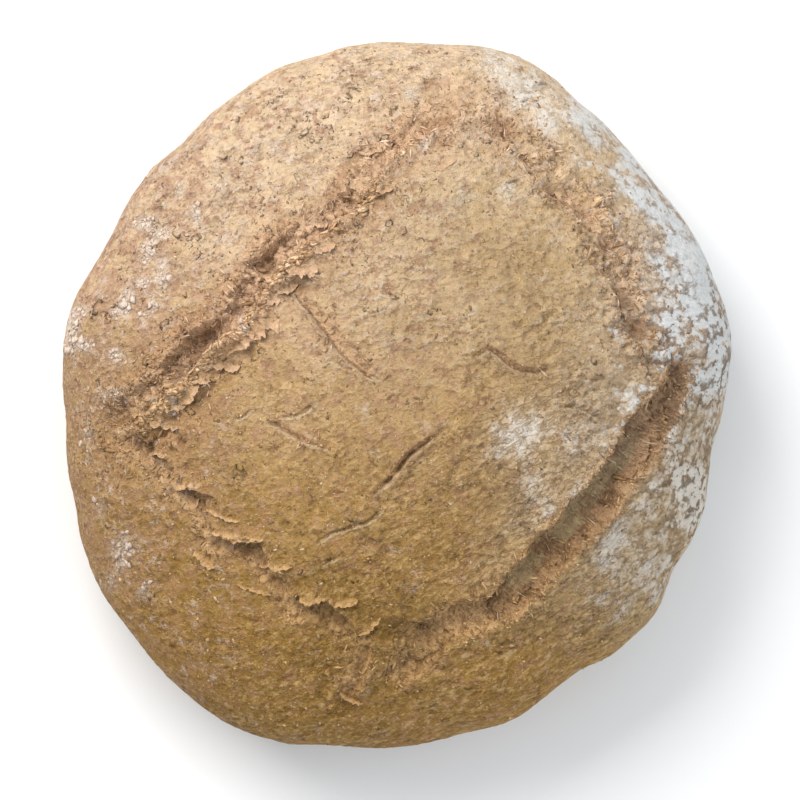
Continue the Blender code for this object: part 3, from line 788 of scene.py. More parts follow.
# %% Arithmetic on sockets
class Wire:
    """A socket of a material's nodes, or a start with no socket yet."""

    def __init__(self, nodes, socket=None):
        self.nodes = nodes
        self.socket = socket

    def add(self, kind, settings=(), sockets=(), out=0):
        """Adds a node: first its settings, then the value or the wire of each socket."""
        node = self.nodes.nodes.new("ShaderNode" + kind)
        for name, value in dict(settings).items():
            if name == "stops":
                set_stops(node.color_ramp, value)
            else:
                setattr(node, name, value)
        for name, value in dict(sockets).items():
            if isinstance(value, Wire):
                self.nodes.links.new(value.socket, node.inputs[name])
            else:
                node.inputs[name].default_value = value
        return Wire(self.nodes, node.outputs[out])

    def math(self, operation, first, second, clamp=False):
        settings = {"operation": operation, "use_clamp": clamp}
        return self.add("Math", settings, {0: first, 1: second})

    def __add__(self, other):
        return self.math("ADD", self, other)

    def __sub__(self, other):
        return self.math("SUBTRACT", self, other)

    def __rsub__(self, other):
        return self.math("SUBTRACT", other, self)

    def __mul__(self, other):
        return self.math("MULTIPLY", self, other)

    def __truediv__(self, other):
        return self.math("DIVIDE", self, other)

    def __pow__(self, other):
        return self.math("POWER", self, other)

    __radd__ = __add__
    __rmul__ = __mul__

    def held(self):
        """The same value, kept between 0 and 1."""
        return self.math("ADD", self, 0.0, clamp=True)

    def step(self, low, high):
        """0 at low, 1 at high, and a smooth rise between."""
        settings = {"interpolation_type": "SMOOTHSTEP"}
        return self.add("MapRange", settings, {"Value": self, "From Min": low, "From Max": high})

    def from_zero(self):
        """How far the value is from 0, whichever way."""
        return self.math("ABSOLUTE", self, 0.0)

    def vector(self, operation, second=(0.0, 0.0, 0.0), out=0):
        """Vector Math on a place or a direction."""
        return self.add("VectorMath", {"operation": operation}, {0: self, 1: second}, out)

    def scaled(self, factor):
        return self.add("VectorMath", {"operation": "SCALE"}, {0: self, "Scale": factor})

    def part(self, axis):
        """One number of a place: its X, Y or Z."""
        return self.add("SeparateXYZ", {}, {0: self}, axis)


def set_stops(colour_ramp, stops):
    while len(colour_ramp.elements) < len(stops):
        colour_ramp.elements.new(0.5)
    for element, (place, colour) in zip(colour_ramp.elements, stops):
        element.position = place
        element.color = (*colour, 1.0)


# %% Colours
def blend(share, first, second, way="MIX"):
    """Colour first where share is 0 and second where it is 1."""
    colours = {6: first, 7: second}
    colours = {k: v if isinstance(v, Wire) else (*v, 1.0) for k, v in colours.items()}
    settings = {"data_type": "RGBA", "blend_type": way, "clamp_factor": True}
    start = next(v for v in (share, first, second) if isinstance(v, Wire))
    return start.add("Mix", settings, {0: share, **colours}, out=2)


def tinted(share, colour, tint):
    """The colour multiplied by a tint, as far as share says."""
    return blend(share, colour, blend(1.0, colour, tint, "MULTIPLY"))


def ramp(share, stops):
    """Colours that follow a number through stops from 0 to 1."""
    return share.add("ValToRGB", {"stops": stops}, {0: share})


def shade(colour, amount):
    """The colour made darker or lighter by a wire around 1."""
    grey = amount.add("CombineColor", {}, {"Red": amount, "Green": amount, "Blue": amount})
    return blend(1.0, colour, grey, "MULTIPLY")


def new_paint(name, roughness):
    """A material, its Principled node and a wire to start from."""
    paint = bpy.data.materials.new(name)
    paint.use_nodes = True
    finish = paint.node_tree.nodes["Principled BSDF"]
    finish.inputs["Roughness"].default_value = roughness
    finish.inputs["Specular IOR Level"].default_value = 0.25
    return paint, finish, Wire(paint.node_tree)


def give(finish, socket, wire):
    wire.nodes.links.new(wire.socket, finish.inputs[socket])


def noted(start, name):
    """A number that the mesh keeps at each point."""
    return start.add("Attribute", {"attribute_name": name}, out="Fac")


# %% Patterns
def millimetres(start):
    """Places on the object, in millimetres."""
    return start.add("TexCoord", out="Object").scaled(1.0 / MM)


def speckle(place, size, detail, rough=0.6, curl=0.0, out=0):
    """Cloudy noise between 0 and 1, whose clouds are this many millimetres wide. Curl winds
    them up."""
    sockets = {"Vector": place, "Scale": 1.0 / size, "Detail": detail, "Roughness": rough}
    return place.add("TexNoise", {}, {**sockets, "Distortion": curl}, out)


def cloud(place, size, detail, rough=0.6, curl=0.0):
    """The same noise about 0, mostly between -1 and 1."""
    return (speckle(place, size, detail, rough, curl) - 0.5) * 4.0


def bent(place, size, reach):
    """Places moved about by up to half of reach, so that a pattern in them wanders."""
    drift = speckle(place, size, 2.0, out=1).vector("SUBTRACT", (0.5, 0.5, 0.5))
    return place.vector("ADD", drift.scaled(reach))


def spots(place, size, wide, often):
    """Round spots in this share of cells of this size: 1 in the middle of a spot."""
    near = place.add("TexVoronoi", {}, {"Vector": place, "Scale": 1.0 / size}, out="Distance")
    cell = Wire(near.nodes, near.socket.node.outputs["Color"])
    number = cell.add("SeparateColor", {}, {0: cell}, out="Red")
    return near.step(wide, wide * 0.6) * number.step(1.0 - often, 1.0 - often + 0.01)


# %% [markdown]
# ## The colour of open crust
# Whole wheat crust is golden brown and full of bran. It is palest at the top of the
# picture and deepens to olive brown at the bottom, partly its own colour and partly painted
# light, as the top faces the lamp. Its skin lifted in small scales that overlap like
# slates. Voronoi cells give them: each cell rises towards its lower side and ends in a
# step, so the bump shows a lit scale with a dark line under its free edge. On top of that,
# each free edge gets a painted highlight, and painted shade lies under it.

# %% Colours of open crust
PALE = (0.76, 0.565, 0.370)
GOLDEN = (0.55, 0.355, 0.170)
OLIVE = (0.40, 0.233, 0.066)
ROSY = (0.49, 0.285, 0.180)
STRAW = (0.63, 0.420, 0.200)
CREAM = (0.77, 0.600, 0.415)
LILAC = (0.74, 0.60, 0.50)
DUSKY = (0.62, 0.485, 0.330)  # the shaded right flank
BRAN_DARK = (0.20, 0.115, 0.06)

# Tints, which multiply the colour
# This one is painted shade, for low and sunken crust
SHADE_TINT = (0.50, 0.43, 0.36)
BAKED = (1.0, 0.92, 0.66)  # the lower half
AWAY = (0.845, 0.83, 0.765)  # the panel's right half, which faces away from the light
DEEPER = (0.86, 0.86, 0.80)  # darker towards the lower left, and painted shade below the flaps


def painted_shade(share, colour):
    """Painted shade: the colour darkened, as far as share says, where crust is low or sunken."""
    return tinted(share, colour, SHADE_TINT)


# %% Scales of skin
WIDER = (0.65, 1.0, 0.8)  # scales are wider across the picture than up it
DOWNHILL = (0.45, -0.85, -0.3)  # where their free edges point: away from the light


def leaves(place, size):
    """Thin scales of skin that overlap like slates, this many millimetres long. The first wire
    is 0 where a scale comes out from under the one above and 1 at its free edge; the second
    is 0 in the middle of a scale and grows to its edge."""
    wide = place.vector("MULTIPLY", WIDER)
    middle = place.add("TexVoronoi", {}, {"Vector": wide, "Scale": 1.0 / size}, out="Position")
    away = wide.vector("SUBTRACT", middle)
    rise = away.vector("DOT_PRODUCT", DOWNHILL, "Value")
    return rise / size + 0.5, away.vector("LENGTH", out="Value") / size


# %% Open crust
def open_crust(place, near_tears):
    """Colour and relief in millimetres of crust that didn't tear, and the domes of its scales."""
    x, y = place.part("X"), place.part("Y")
    # Paler at the top, darker at the bottom: partly the crust's own colour, partly painted light
    zone = y + x * 0.2 + cloud(place, 28.0, 1.0) * 18.0
    zone = zone - x.step(10.0, 35.0) * y.step(25.0, 50.0) * 25.0
    colour = blend(zone.step(-20.0, 80.0), GOLDEN, PALE)
    colour = blend(zone.step(15.0, -95.0), colour, OLIVE)
    colour = blend(x.step(62.0, 100.0) * 0.75, colour, DUSKY)

    # Rosy and straw patches, and grain: its high places paler, its low places with painted shade
    patch = cloud(place, 6.0, 4.0, 0.7, 0.5)
    side = x.step(-30.0, -100.0) * 0.4 - x.step(0.0, 60.0) * y.step(-35.0, 10.0) * 0.5
    colour = blend((patch + side).step(-0.1, 0.6) * 0.85, colour, ROSY)
    colour = blend((patch + side).step(-0.1, -0.8) * 0.6, colour, STRAW)
    grain = cloud(place, 1.7, 4.0, 0.75)
    colour = blend(grain.step(0.1, 1.0) * 0.8, colour, CREAM)
    colour = painted_shade(grain.step(-0.1, -1.0) * 0.75, colour)

    # Scales in two sizes: a painted highlight on their free edges, and painted shade under them
    large, large_far = leaves(bent(place, 2.2, 4.5), 3.6)
    moved = bent(place, 1.2, 2.4)
    small, small_far = leaves(moved, 1.8)
    dry = (x - y * 0.45).step(35.0, 70.0) * y.step(-95.0, -60.0)
    lifted = (cloud(place, 11.0, 1.0) + near_tears * 0.8 + dry * 0.5).step(-0.5, 0.5)
    fine = (cloud(place, 7.0, 1.0) + dry * 0.6).step(-0.5, 0.4)
    free = large.step(0.72, 1.0) * lifted * 0.6 + small.step(0.7, 1.0) * fine * 0.5
    under = large.step(0.35, 0.1) * lifted * 0.55 + small.step(0.35, 0.1) * fine * 0.45
    # Pits, with painted shade in them as well as relief
    pits = cloud(place, 3.2, 4.0, 0.72).step(-0.25, -0.85)
    pits = pits * cloud(place, 13.0, 1.0).step(-0.45, 0.5)
    colour = blend(dry * 0.35, colour, LILAC)
    highlight_tone = blend(zone.step(-30.0, 60.0) + dry * 0.6, STRAW, LILAC)
    colour = blend(free.held(), colour, highlight_tone)
    colour = painted_shade((under + pits * 0.5).held(), colour)
    colour = blend(spots(moved, 1.7, 0.34, 0.2) * 0.3, colour, BRAN_DARK)

    # Relief, with each scale a little domed where the crust is dry
    relief = 0.3 * cloud(place, 5.0, 2.0) + 0.52 * grain - 0.55 * pits
    relief += (0.65 + 0.3 * near_tears) * large * lifted + 0.42 * small * fine
    domes = (0.5 - large_far) * 1.1 + (0.5 - small_far) * 0.8
    # Painted shade between the scales' domes where the crust is dry
    colour = painted_shade(domes.step(0.0, -0.25) * dry * 0.25, colour)
    return colour, relief + domes * dry * 0.4, domes


# %% Zones of baking and of painted shade
def baked_and_shaded(colour, place):
    """The colour as the oven left it, with painted shade on the right half, which faces away
    from the light, and below the flaps of the south-west slash; darker towards the lower
    left, and yellower and darker towards the bottom.
    """
    x, y = place.part("X"), place.part("Y")
    right = x.step(-50.0, 30.0) * y.step(95.0, 65.0) * y.step(-105.0, -50.0)
    right = right * (x + y * 0.8).step(115.0, 85.0)
    right = right * (1.0 - 0.5 * x.step(60.0, 85.0) * (x + y).step(75.0, 50.0))
    colour = tinted(right, colour, AWAY)
    left = (x * -1.2 - y * 0.8).step(45.0, 105.0) * y.step(35.0, -5.0)
    left = left * (1.0 - 0.6 * y.step(-80.0, -95.0) * x.step(-60.0, -35.0))
    # Painted shade below the lifted flaps of the south-west slash
    flaps = x.step(-38.0, -25.0) * x.step(20.0, 5.0)
    flaps = flaps * y.step(-60.0, -72.0) * y.step(-98.0, -86.0)
    colour = tinted(left + flaps, colour, DEEPER)
    colour = tinted(flaps * 0.6, colour, DEEPER)
    return tinted(y.step(40.0, -110.0), colour, BAKED)


# %% [markdown]
# ## The torn crumb
# Torn crumb is redder than the crust around it, with fibres that run up its walls; the
# bottom of the south-east slash, which opened early and baked longest, is olive grey. The
# mesh keeps numbers at its points that say where all this is, and the paint reads them.

# %% Colours of the crumb
TORN = ((0.2, (0.44, 0.270, 0.170)), (0.5, (0.62, 0.395, 0.245)), (0.8, (0.88, 0.585, 0.375)))
TORN_OLIVE = (
    (0.1, (0.38, 0.275, 0.180)), (0.5, (0.64, 0.480, 0.330)), (0.8, (0.78, 0.62, 0.45)),
)
RUSTY = (0.80, 0.77, 0.80)  # tints the crumb on the walls of the olive slashes
LIP = (0.68, 0.45, 0.28)
SUNSET = (0.66, 0.385, 0.215)  # crust that the heat reached from a tear beside it

# %% Crumb in the tears
crust_paint, finish, start = new_paint("crust", 0.85)
place = millimetres(start)
x, y, z = (place.part(axis) for axis in "XYZ")
colour, relief, domes = open_crust(place, noted(start, "shaggy"))

along, across = noted(start, "along"), noted(start, "across")
rough, deep = noted(start, "rough"), noted(start, "deep")
hollow, olive = noted(start, "hollow"), noted(start, "olive")
combed = start.add("CombineXYZ", {}, {"X": along / 1.1, "Y": across / 4.0, "Z": 0.0})
fibres = cloud(combed, 1.0, 2.0, 0.6, 0.8)
crumbly = cloud(place, 1.8, 4.0, 0.72, 0.8)
broad = cloud(place, 8.0, 1.0)
bottom = olive.step(0.88, 1.0) * broad.step(-0.7, 0.1)
walls = olive.step(0.3, 0.5) * (1.0 - bottom)
steep = 4.0 * deep * (1.0 - deep)

# Painted light in the crumb: the deep bottom is darker, as shade, the steep walls lighter against
# their own shade, and low crumb darker than high
tone = 0.42 + 0.07 * fibres + 0.28 * crumbly + 0.22 * rough + 0.36 * noted(start, "crest")
tone = tone + 0.14 * noted(start, "shaggy") + 0.2 * steep - 0.2 * deep**3.0
tone = tone + walls * (0.1 + 0.35 * fibres + 0.35 * crumbly) + bottom * 0.15 * broad
crumb = tinted(olive.step(0.3, 0.5), ramp(tone, TORN), RUSTY)
crumb = blend(bottom, crumb, ramp(tone, TORN_OLIVE))
torn = (noted(start, "torn") + hollow * 0.6 + 0.25 * crumbly).step(0.35, 0.7)

# Painted shade in the low places of the rough crust, and lighter high places
colour = shade(colour, 1.0 + 0.22 * rough)
colour = blend(noted(start, "heated") * 0.8, colour, SUNSET)
colour = blend(torn, colour, crumb)
# Painted shade in the pits
colour = painted_shade(hollow * (1.0 - deep) * 0.8, colour)
colour = blend(noted(start, "lip") * crumbly.step(-0.7, 0.5) * 0.7, colour, LIP)
relief = relief + torn * (0.12 * fibres + 0.30 * crumbly)
relief = relief + walls * (0.5 * fibres + 0.3 * crumbly)

# %% [markdown]
# ## Cracks and creases
# Hair cracks run over the middle panel, each a dark line with a pale raised edge: a band
# around the middle of the tear, moved about by noise. The skin also wrinkled where it
# dried on the loaf. Noise that passes through 0 does so along thin lines, and these are the
# creases; the places are stretched first, so that the lines run up to the right.

# %% Hair cracks
middle = across + 0.8 * crumbly
split = (noted(start, "split") + 0.5 * crumbly).step(0.2, 0.8)
# The dark line is painted shade in the crack, and the pale raised edge partly a painted highlight
crack = middle.from_zero().step(0.6, 0.1) * split
raised = (middle + 1.1).from_zero().step(0.8, 0.1) * split
colour = blend(raised * 0.75, colour, CREAM)
colour = painted_shade(crack * 0.6, colour)
relief = relief + 0.35 * raised - 0.4 * crack

# %% Creases, and the colour of baking and of painted shade
flour = noted(start, "flour")
right_flank = (x + 0.3 * y).step(55.0, 85.0)
wrinkled = (0.25 + 0.5 * (x - y).step(10.0, 50.0) + flour).held()
wrinkled = wrinkled * (1.0 - right_flank) * (1.0 - torn)
uphill, over = x * 0.82 + y * 0.57, y * 0.82 - x * 0.57
uphill = start.add("CombineXYZ", {}, {"X": uphill / 5.0, "Y": over / 2.2, "Z": z / 3.0})
folds = cloud(uphill, 1.0, 3.0, 0.65).from_zero()
creases = folds.step(0.2, 0.02) * wrinkled
# The ridges between the creases are paler, partly painted highlight, and the creases get painted
# shade
colour = blend(folds.step(0.3, 0.9) * wrinkled * 0.6, colour, CREAM)
colour = painted_shade(creases * 0.35, colour)
relief = relief - creases * 0.45
colour = baked_and_shaded(colour, place)

# %% [markdown]
# ## Flour
# On the right flank flour lies thick and cold white, and broke into islands with dark
# cracks when the crust dried under it: the scales' own domes are the islands. Elsewhere it
# is creamier, on the left rosy to brown, and clings in specks.

# %% Lilac spots on the left
left_side = x.step(-35.0, -80.0)
lilac_spots = cloud(place, 3.4, 3.0, 0.7).step(0.1, 0.8)
lilac_spots = lilac_spots * cloud(place, 14.0, 1.0).step(-0.5, 0.4)
colour = blend(lilac_spots * left_side * 0.75, colour, LILAC)
relief = relief + lilac_spots * left_side * 0.35

# %% Flour on the crust
FLOUR_WHITE = (0.76, 0.77, 0.77)
FLOUR_CREAM = (0.80, 0.725, 0.635)
FLOUR_ROSY = (0.80, 0.655, 0.54)
LILAC_BROWN = (0.56, 0.44, 0.35)
GAP_SHADE = (0.45, 0.42, 0.38)  # tints the cracks between islands of flour

crackle = right_flank * (0.5 + 0.5 * y.step(60.0, 15.0))
gaps = domes.step(0.0, -0.25) * crackle
islands = domes * crackle
patchy = broad * 0.3 + islands * 0.7 + cloud(place, 2.0, 4.0, 0.75) * 0.35
dusting = x.step(70.0, 100.0) * 0.2
# Painted shade in the cracks between the islands of flour
colour = tinted(gaps * (flour + dusting).held(), colour, GAP_SHADE)
cover = flour * 0.92 + dusting + patchy - gaps * 0.5 - creases * 0.25 - torn * 0.5
cover = (cover.step(0.12, 0.95) * 0.86 + flour * 0.16).held() * 0.95
flour_tone = blend(y.step(-40.0, 20.0) * x.step(45.0, 75.0), FLOUR_CREAM, FLOUR_WHITE)
rosy = blend(y.step(20.0, -40.0), FLOUR_ROSY, LILAC_BROWN)
flour_tone = blend(x.step(10.0, -50.0), flour_tone, rosy)
colour = blend(cover, colour, flour_tone)
relief = relief + cover * (0.12 + 0.4 * crackle) + 0.5 * islands

# %% Put the paint on the crust
bump = start.add("Bump", {}, {"Height": relief, "Strength": 1.0, "Distance": MM})
give(finish, "Base Color", colour)
give(finish, "Normal", bump)
crust.data.materials.append(crust_paint)
print("the crust's paint has", len(start.nodes.nodes), "nodes")

# %% [markdown]
# ## Loose and lifted things
# What lies on the crust is real mesh at its true size. Each kind is a few shapes copied
# thousands of times into one piece, each copy with its own place, turn, size and tone.

# %% A scale
def scale_shape(random, sides):
    """An irregular thin scale, one unit long, bent like a dry leaf."""
    turn = (np.arange(sides) + random.uniform(-0.3, 0.3, sides)) * 2 * math.pi / sides
    reach = 0.5 * random.uniform(0.7, 1.1, sides)
    bend = random.uniform(-0.5, 0.9)
    ring = np.column_stack([reach * np.cos(turn), reach * np.sin(turn), np.zeros(sides)])
    ring[:, 2] = bend * (ring[:, 0] ** 2) + random.uniform(-0.05, 0.05, sides)
    points = np.concatenate([ring, [(0, 0, 0.10), (0, 0, -0.06)]])
    ahead = (np.arange(sides) + 1) % sides
    here = np.arange(sides)
    above = np.column_stack([here, ahead, np.full(sides, sides)])
    below = np.column_stack([ahead, here, np.full(sides, sides + 1)])
    return points, np.concatenate([above, below])


# %% A shred
def sliver_shape(random, columns=4):
    """A torn shred, one unit long, tapered and curled, with three sides."""
    x = np.linspace(-0.5, 0.5, columns)
    taper = 0.5 * (1.02 - (2 * x) ** 2) ** 0.7 * random.uniform(0.6, 1.2, columns)
    lift = random.uniform(0.1, 1.0) * x**2 + random.uniform(-0.06, 0.06, columns)
    sway = random.uniform(-0.25, 0.25) * x**2 + random.uniform(-0.03, 0.03, columns)
    left = np.column_stack([x, sway + taper, lift])
    right = np.column_stack([x, sway - taper, lift])
    crest = np.column_stack([x, sway, lift + taper])
    points = np.stack([left, right, crest], axis=1).reshape(-1, 3)
    faces = [(0, 1, 2), (3 * columns - 3, 3 * columns - 1, 3 * columns - 2)]
    for first in range(0, 3 * columns - 3, 3):
        for a, b in ((0, 1), (1, 2), (2, 0)):
            faces.append((first + a, first + a + 3, first + b))
            faces.append((first + b, first + a + 3, first + b + 3))
    return points, np.array(faces)


# %% A crumb
def crumb_shape(random):
    """A small angular crumb: an octahedron pushed out of shape."""
    tips = [(1, 0, 0), (0, 1, 0), (-1, 0, 0), (0, -1, 0), (0, 0, 1), (0, 0, -1)]
    points = 0.5 * np.array(tips, float)
    points *= random.uniform(0.6, 1.15, (6, 1))
    points += random.uniform(-0.12, 0.12, (6, 3))
    upper = [(0, 1, 4), (1, 2, 4), (2, 3, 4), (3, 0, 4)]
    lower = [(1, 0, 5), (2, 1, 5), (3, 2, 5), (0, 3, 5)]
    return points, np.array(upper + lower)


# %% The crust's triangles
corner = crust_points[crust_faces[: len(top_faces)]] / MM
centre = corner.mean(axis=1)
slant = np.cross(corner[:, 1] - corner[:, 0], corner[:, 2] - corner[:, 0])
area = np.linalg.norm(slant, axis=1) / 2
facing = slant / np.maximum(np.linalg.norm(slant, axis=1, keepdims=True), 1e-12)


def at_centres(values):
    """What the points know, averaged for each triangle."""
    return values[top_faces].mean(axis=1)


torn_here, deep_here, lip_here = map(at_centres, (top.torn, top.deep, top.lip))
shaggy_here, olive_here, crest_here = map(at_centres, (top.shaggy, top.olive, top.crest))
flour_here = patches_on(centre[:, :2], FLOUR)
lit = smooth((centre[:, 2] - 6.0) / 20.0)  # little lies where the loaf tucks under
lit *= smooth((facing[:, 2] - 0.1) / 0.5)


print("crust above and below:", round(area.sum() / 100), "square centimetres")


# %% Places on the crust
def spread(weight, count, random):
    """Random places on the crust, dense where weight is high: points and face numbers."""
    share = weight * area
    chosen = random.choice(len(area), count, p=share / share.sum())
    a, b = random.uniform(0, 1, (2, count, 1))
    flip = a + b > 1
    a, b = np.where(flip, 1 - a, a), np.where(flip, 1 - b, b)
    first = corner[chosen, 0]
    return first + a * (corner[chosen, 1] - first) + b * (corner[chosen, 2] - first), chosen


# %% Laying copies
def copies(name, shapes, places, up, heading, size, random):
    """One mesh of many shapes. up and heading set how each lies; size is its length,
    width and height."""
    side = np.cross(up, heading)
    side /= np.linalg.norm(side, axis=1, keepdims=True)
    ahead = np.cross(side, up)
    turned = np.stack([ahead, side, up], axis=1)
    kind = random.integers(0, len(shapes), len(places))
    points, faces, owner = [], [], []
    begun = 0
    for number, (shape, shape_faces) in enumerate(shapes):
        mine = np.flatnonzero(kind == number)
        sized = shape[None] * size[mine, None]
        laid = np.einsum("nij,njk->nik", sized, turned[mine]) + places[mine, None]
        points.append(laid.reshape(-1, 3))
        starts = begun + np.arange(len(mine)) * len(shape)
        faces.append((shape_faces[None] + starts[:, None, None]).reshape(-1, 3))
        owner.append(np.repeat(mine, len(shape)))
        begun += len(mine) * len(shape)
    piece = make_mesh(name, np.concatenate(points) * MM, np.concatenate(faces))
    note(piece.data, "tone", random.uniform(0, 1, len(places))[np.concatenate(owner)])
    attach(piece, "root")
    print(name, len(places), "copies,", sum(len(f) for f in faces), "triangles")
    return piece


# %% Directions and sizes
UPWARD = np.array([0, 0, 1.0])


def unit(vectors):
    return vectors / np.linalg.norm(vectors, axis=1, keepdims=True)


def scattered(count, random):
    """Directions every way."""
    return unit(random.normal(0, 1, (count, 3)))


def uneven_sizes(mean, vary, count, random):
    """Length, width and height of each copy: small ones are common, and large ones rare."""
    return np.exp(random.normal(0, vary, (count, 1))) * mean


def outward_from_tear(face):
    """The level direction out of the nearest tear, for each chosen triangle."""
    return np.column_stack([at_centres(top.outward)[face], np.zeros(len(face))])


# %% Copies that lie about
def lie_about(name, seed, count, weight, shape, kinds, mean, vary, tilt, lift):
    """Copies of a few kinds of one shape, turned any way. Tilt says how unevenly they lie,
    and lift how far off the crust."""
    random = np.random.default_rng(seed)
    places, face = spread(weight, count, random)
    up = unit(facing[face] + tilt * scattered(count, random))
    size = uneven_sizes(mean, vary, count, random)
    shapes = [shape(random) for _ in range(kinds)]
    heading = scattered(count, random)
    return copies(name, shapes, places + lift * up, up, heading, size, random)


def toned_paint(name, roughness, stops):
    """A material for copies, each with its own tone from a ramp: the material, its finish, a
    wire to start from, and the colour."""
    paint, finish, start = new_paint(name, roughness)
    return paint, finish, start, ramp(noted(start, "tone"), stops)


# %% [markdown]
# ## Scales of crust
# The skin dried, blistered and lifted in small scales, most at the upper left. They have
# the crust's own colour, so only their shadows and edges show them.

# %% Scales
upper_left = smooth((centre[:, 1] - centre[:, 0] - 10.0) / 110.0)
weight = lit * (1.0 - 0.8 * torn_here) * (0.1 + upper_left)
weight *= 1.0 - 0.9 * np.minimum(flour_here, 1.0)
weight *= np.clip(0.3 + 2.0 * lumps(centre, 9.0, 61), 0.02, 2.0)
scales = lie_about(
    "crust_scales", 11, 1300, weight, lambda random: scale_shape(random, 7), kinds=24,
    mean=(2.0, 1.2, 0.25), vary=0.4, tilt=0.12, lift=-0.05)
scales.data.materials.append(crust_paint)

# %% [markdown]
# ## Bran
# Whole wheat flour leaves flakes of bran in the crust, one to two millimetres long, from
# dark brown to straw.

# %% Bran
BRAN = (
    (0.0, BRAN_DARK), (0.4, (0.36, 0.22, 0.115)), (0.8, (0.48, 0.32, 0.18)),
    (1.0, (0.60, 0.44, 0.27)),
)

weight = lit * (1.0 - 0.4 * torn_here) * (1.0 - 0.85 * np.minimum(flour_here, 1.0))
bran = lie_about(
    "bran", 12, 3000, weight, lambda random: scale_shape(random, 6), kinds=12,
    mean=(1.1, 0.55, 0.35), vary=0.35, tilt=0.2, lift=0.03)
bran_paint, finish, _, colour = toned_paint("bran", 0.7, BRAN)
give(finish, "Base Color", colour)
bran.data.materials.append(bran_paint)

# %% [markdown]
# ## Shreds
# Where the crust tore, the crumb pulled out into shreds, which point across the tear. A few
# long thin strands still span the bottom of the south-east slash.

# %% Shreds
SHRED = (
    (0.0, (0.24, 0.14, 0.075)), (0.45, (0.42, 0.26, 0.145)), (0.8, (0.58, 0.38, 0.235)),
    (1.0, (0.72, 0.54, 0.39)),
)

random = np.random.default_rng(13)
count = 3600
weight = shaggy_here**1.5 * (1.0 - 0.5 * deep_here) + 0.3 * lip_here * (shaggy_here > 0)
places, face = spread(weight, count, random)
up = unit(facing[face] + 0.35 * scattered(count, random))
swirl = np.column_stack([lumps(places, 6.0, 71), lumps(places, 6.0, 72), np.zeros(count)])
heading = outward_from_tear(face) + 1.6 * swirl
heading = unit(heading + 0.8 * scattered(count, random))
size = uneven_sizes((1.7, 0.36, 0.6), 0.45, count, random)
shapes = [sliver_shape(random) for _ in range(16)]
shreds = copies("torn_shreds", shapes, places + 0.05 * up, up, heading, size, random)

shred_paint, finish, start, colour = toned_paint("torn crumb", 0.85, SHRED)
place = millimetres(start)
colour = shade(colour, 0.7 + 0.6 * speckle(place, 0.8, 2.0))
give(finish, "Base Color", baked_and_shaded(colour, place))
shreds.data.materials.append(shred_paint)

# %% Strands across the olive bottom
STRAND = (0.68, 0.55, 0.37)

count = 44
places, face = spread(olive_here**4, count, random)
size = uneven_sizes((3.6, 0.22, 0.7), 0.3, count, random)
shapes = [sliver_shape(random, 8) for _ in range(8)]
up = unit(UPWARD + 0.3 * scattered(count, random))
heading = unit(outward_from_tear(face) + 0.5 * scattered(count, random))
strands = copies("strands", shapes, places + 0.2 * UPWARD, up, heading, size, random)
strand_paint, finish, _ = new_paint("strands", 0.85)
finish.inputs["Base Color"].default_value = (*STRAND, 1.0)
strands.data.materials.append(strand_paint)

# %% [markdown]
# ## Flakes of the raised edges
# On the crown side the torn crust curled up and split into thin flakes, one on another like
# slate. They lie along the edge, catch the light, and shade the crust behind them.

# %% Flakes
FLAKE = (
    (0.0, (0.46, 0.26, 0.13)), (0.4, (0.62, 0.385, 0.21)), (0.8, (0.76, 0.51, 0.31)),
    (1.0, (0.84, 0.62, 0.43)),
)

random = np.random.default_rng(15)
count = 900
weight = np.maximum(crest_here - 0.3, 0.0) * smooth(0.5 + 2.0 * lumps(centre, 6.0, 66))
places, face = spread(weight, count, random)
outward = outward_from_tear(face)
up = facing[face] + 0.5 * UPWARD + 0.5 * outward
up = unit(up + 0.35 * scattered(count, random))
forward = np.column_stack([outward[:, 1], -outward[:, 0], np.zeros(count)])
heading = 0.35 * forward + np.array([1.0, 0.1, 0])
heading = unit(heading + 0.35 * scattered(count, random))
size = uneven_sizes((2.0, 0.9, 0.6), 0.45, count, random)
shapes = [scale_shape(random, 9) for _ in range(24)]
flakes = copies("edge_flakes", shapes, places + 0.2 * up, up, heading, size, random)

flake_paint, finish, start, colour = toned_paint("edge flakes", 0.85, FLAKE)
place = millimetres(start)
colour = shade(colour, 1.0 + 0.25 * cloud(place, 1.0, 3.0, 0.7))
give(finish, "Base Color", baked_and_shaded(colour, place))
flakes.data.materials.append(flake_paint)

# %% [markdown]
# ## Lifted plates
# Along the slashes three dozen larger plates of crust stand clear of the loaf. Each is
# a thin closed slab: it starts buried in the crust at the top of the picture, runs level
# while the crust falls away, and ends in a ragged edge that shades what is below.

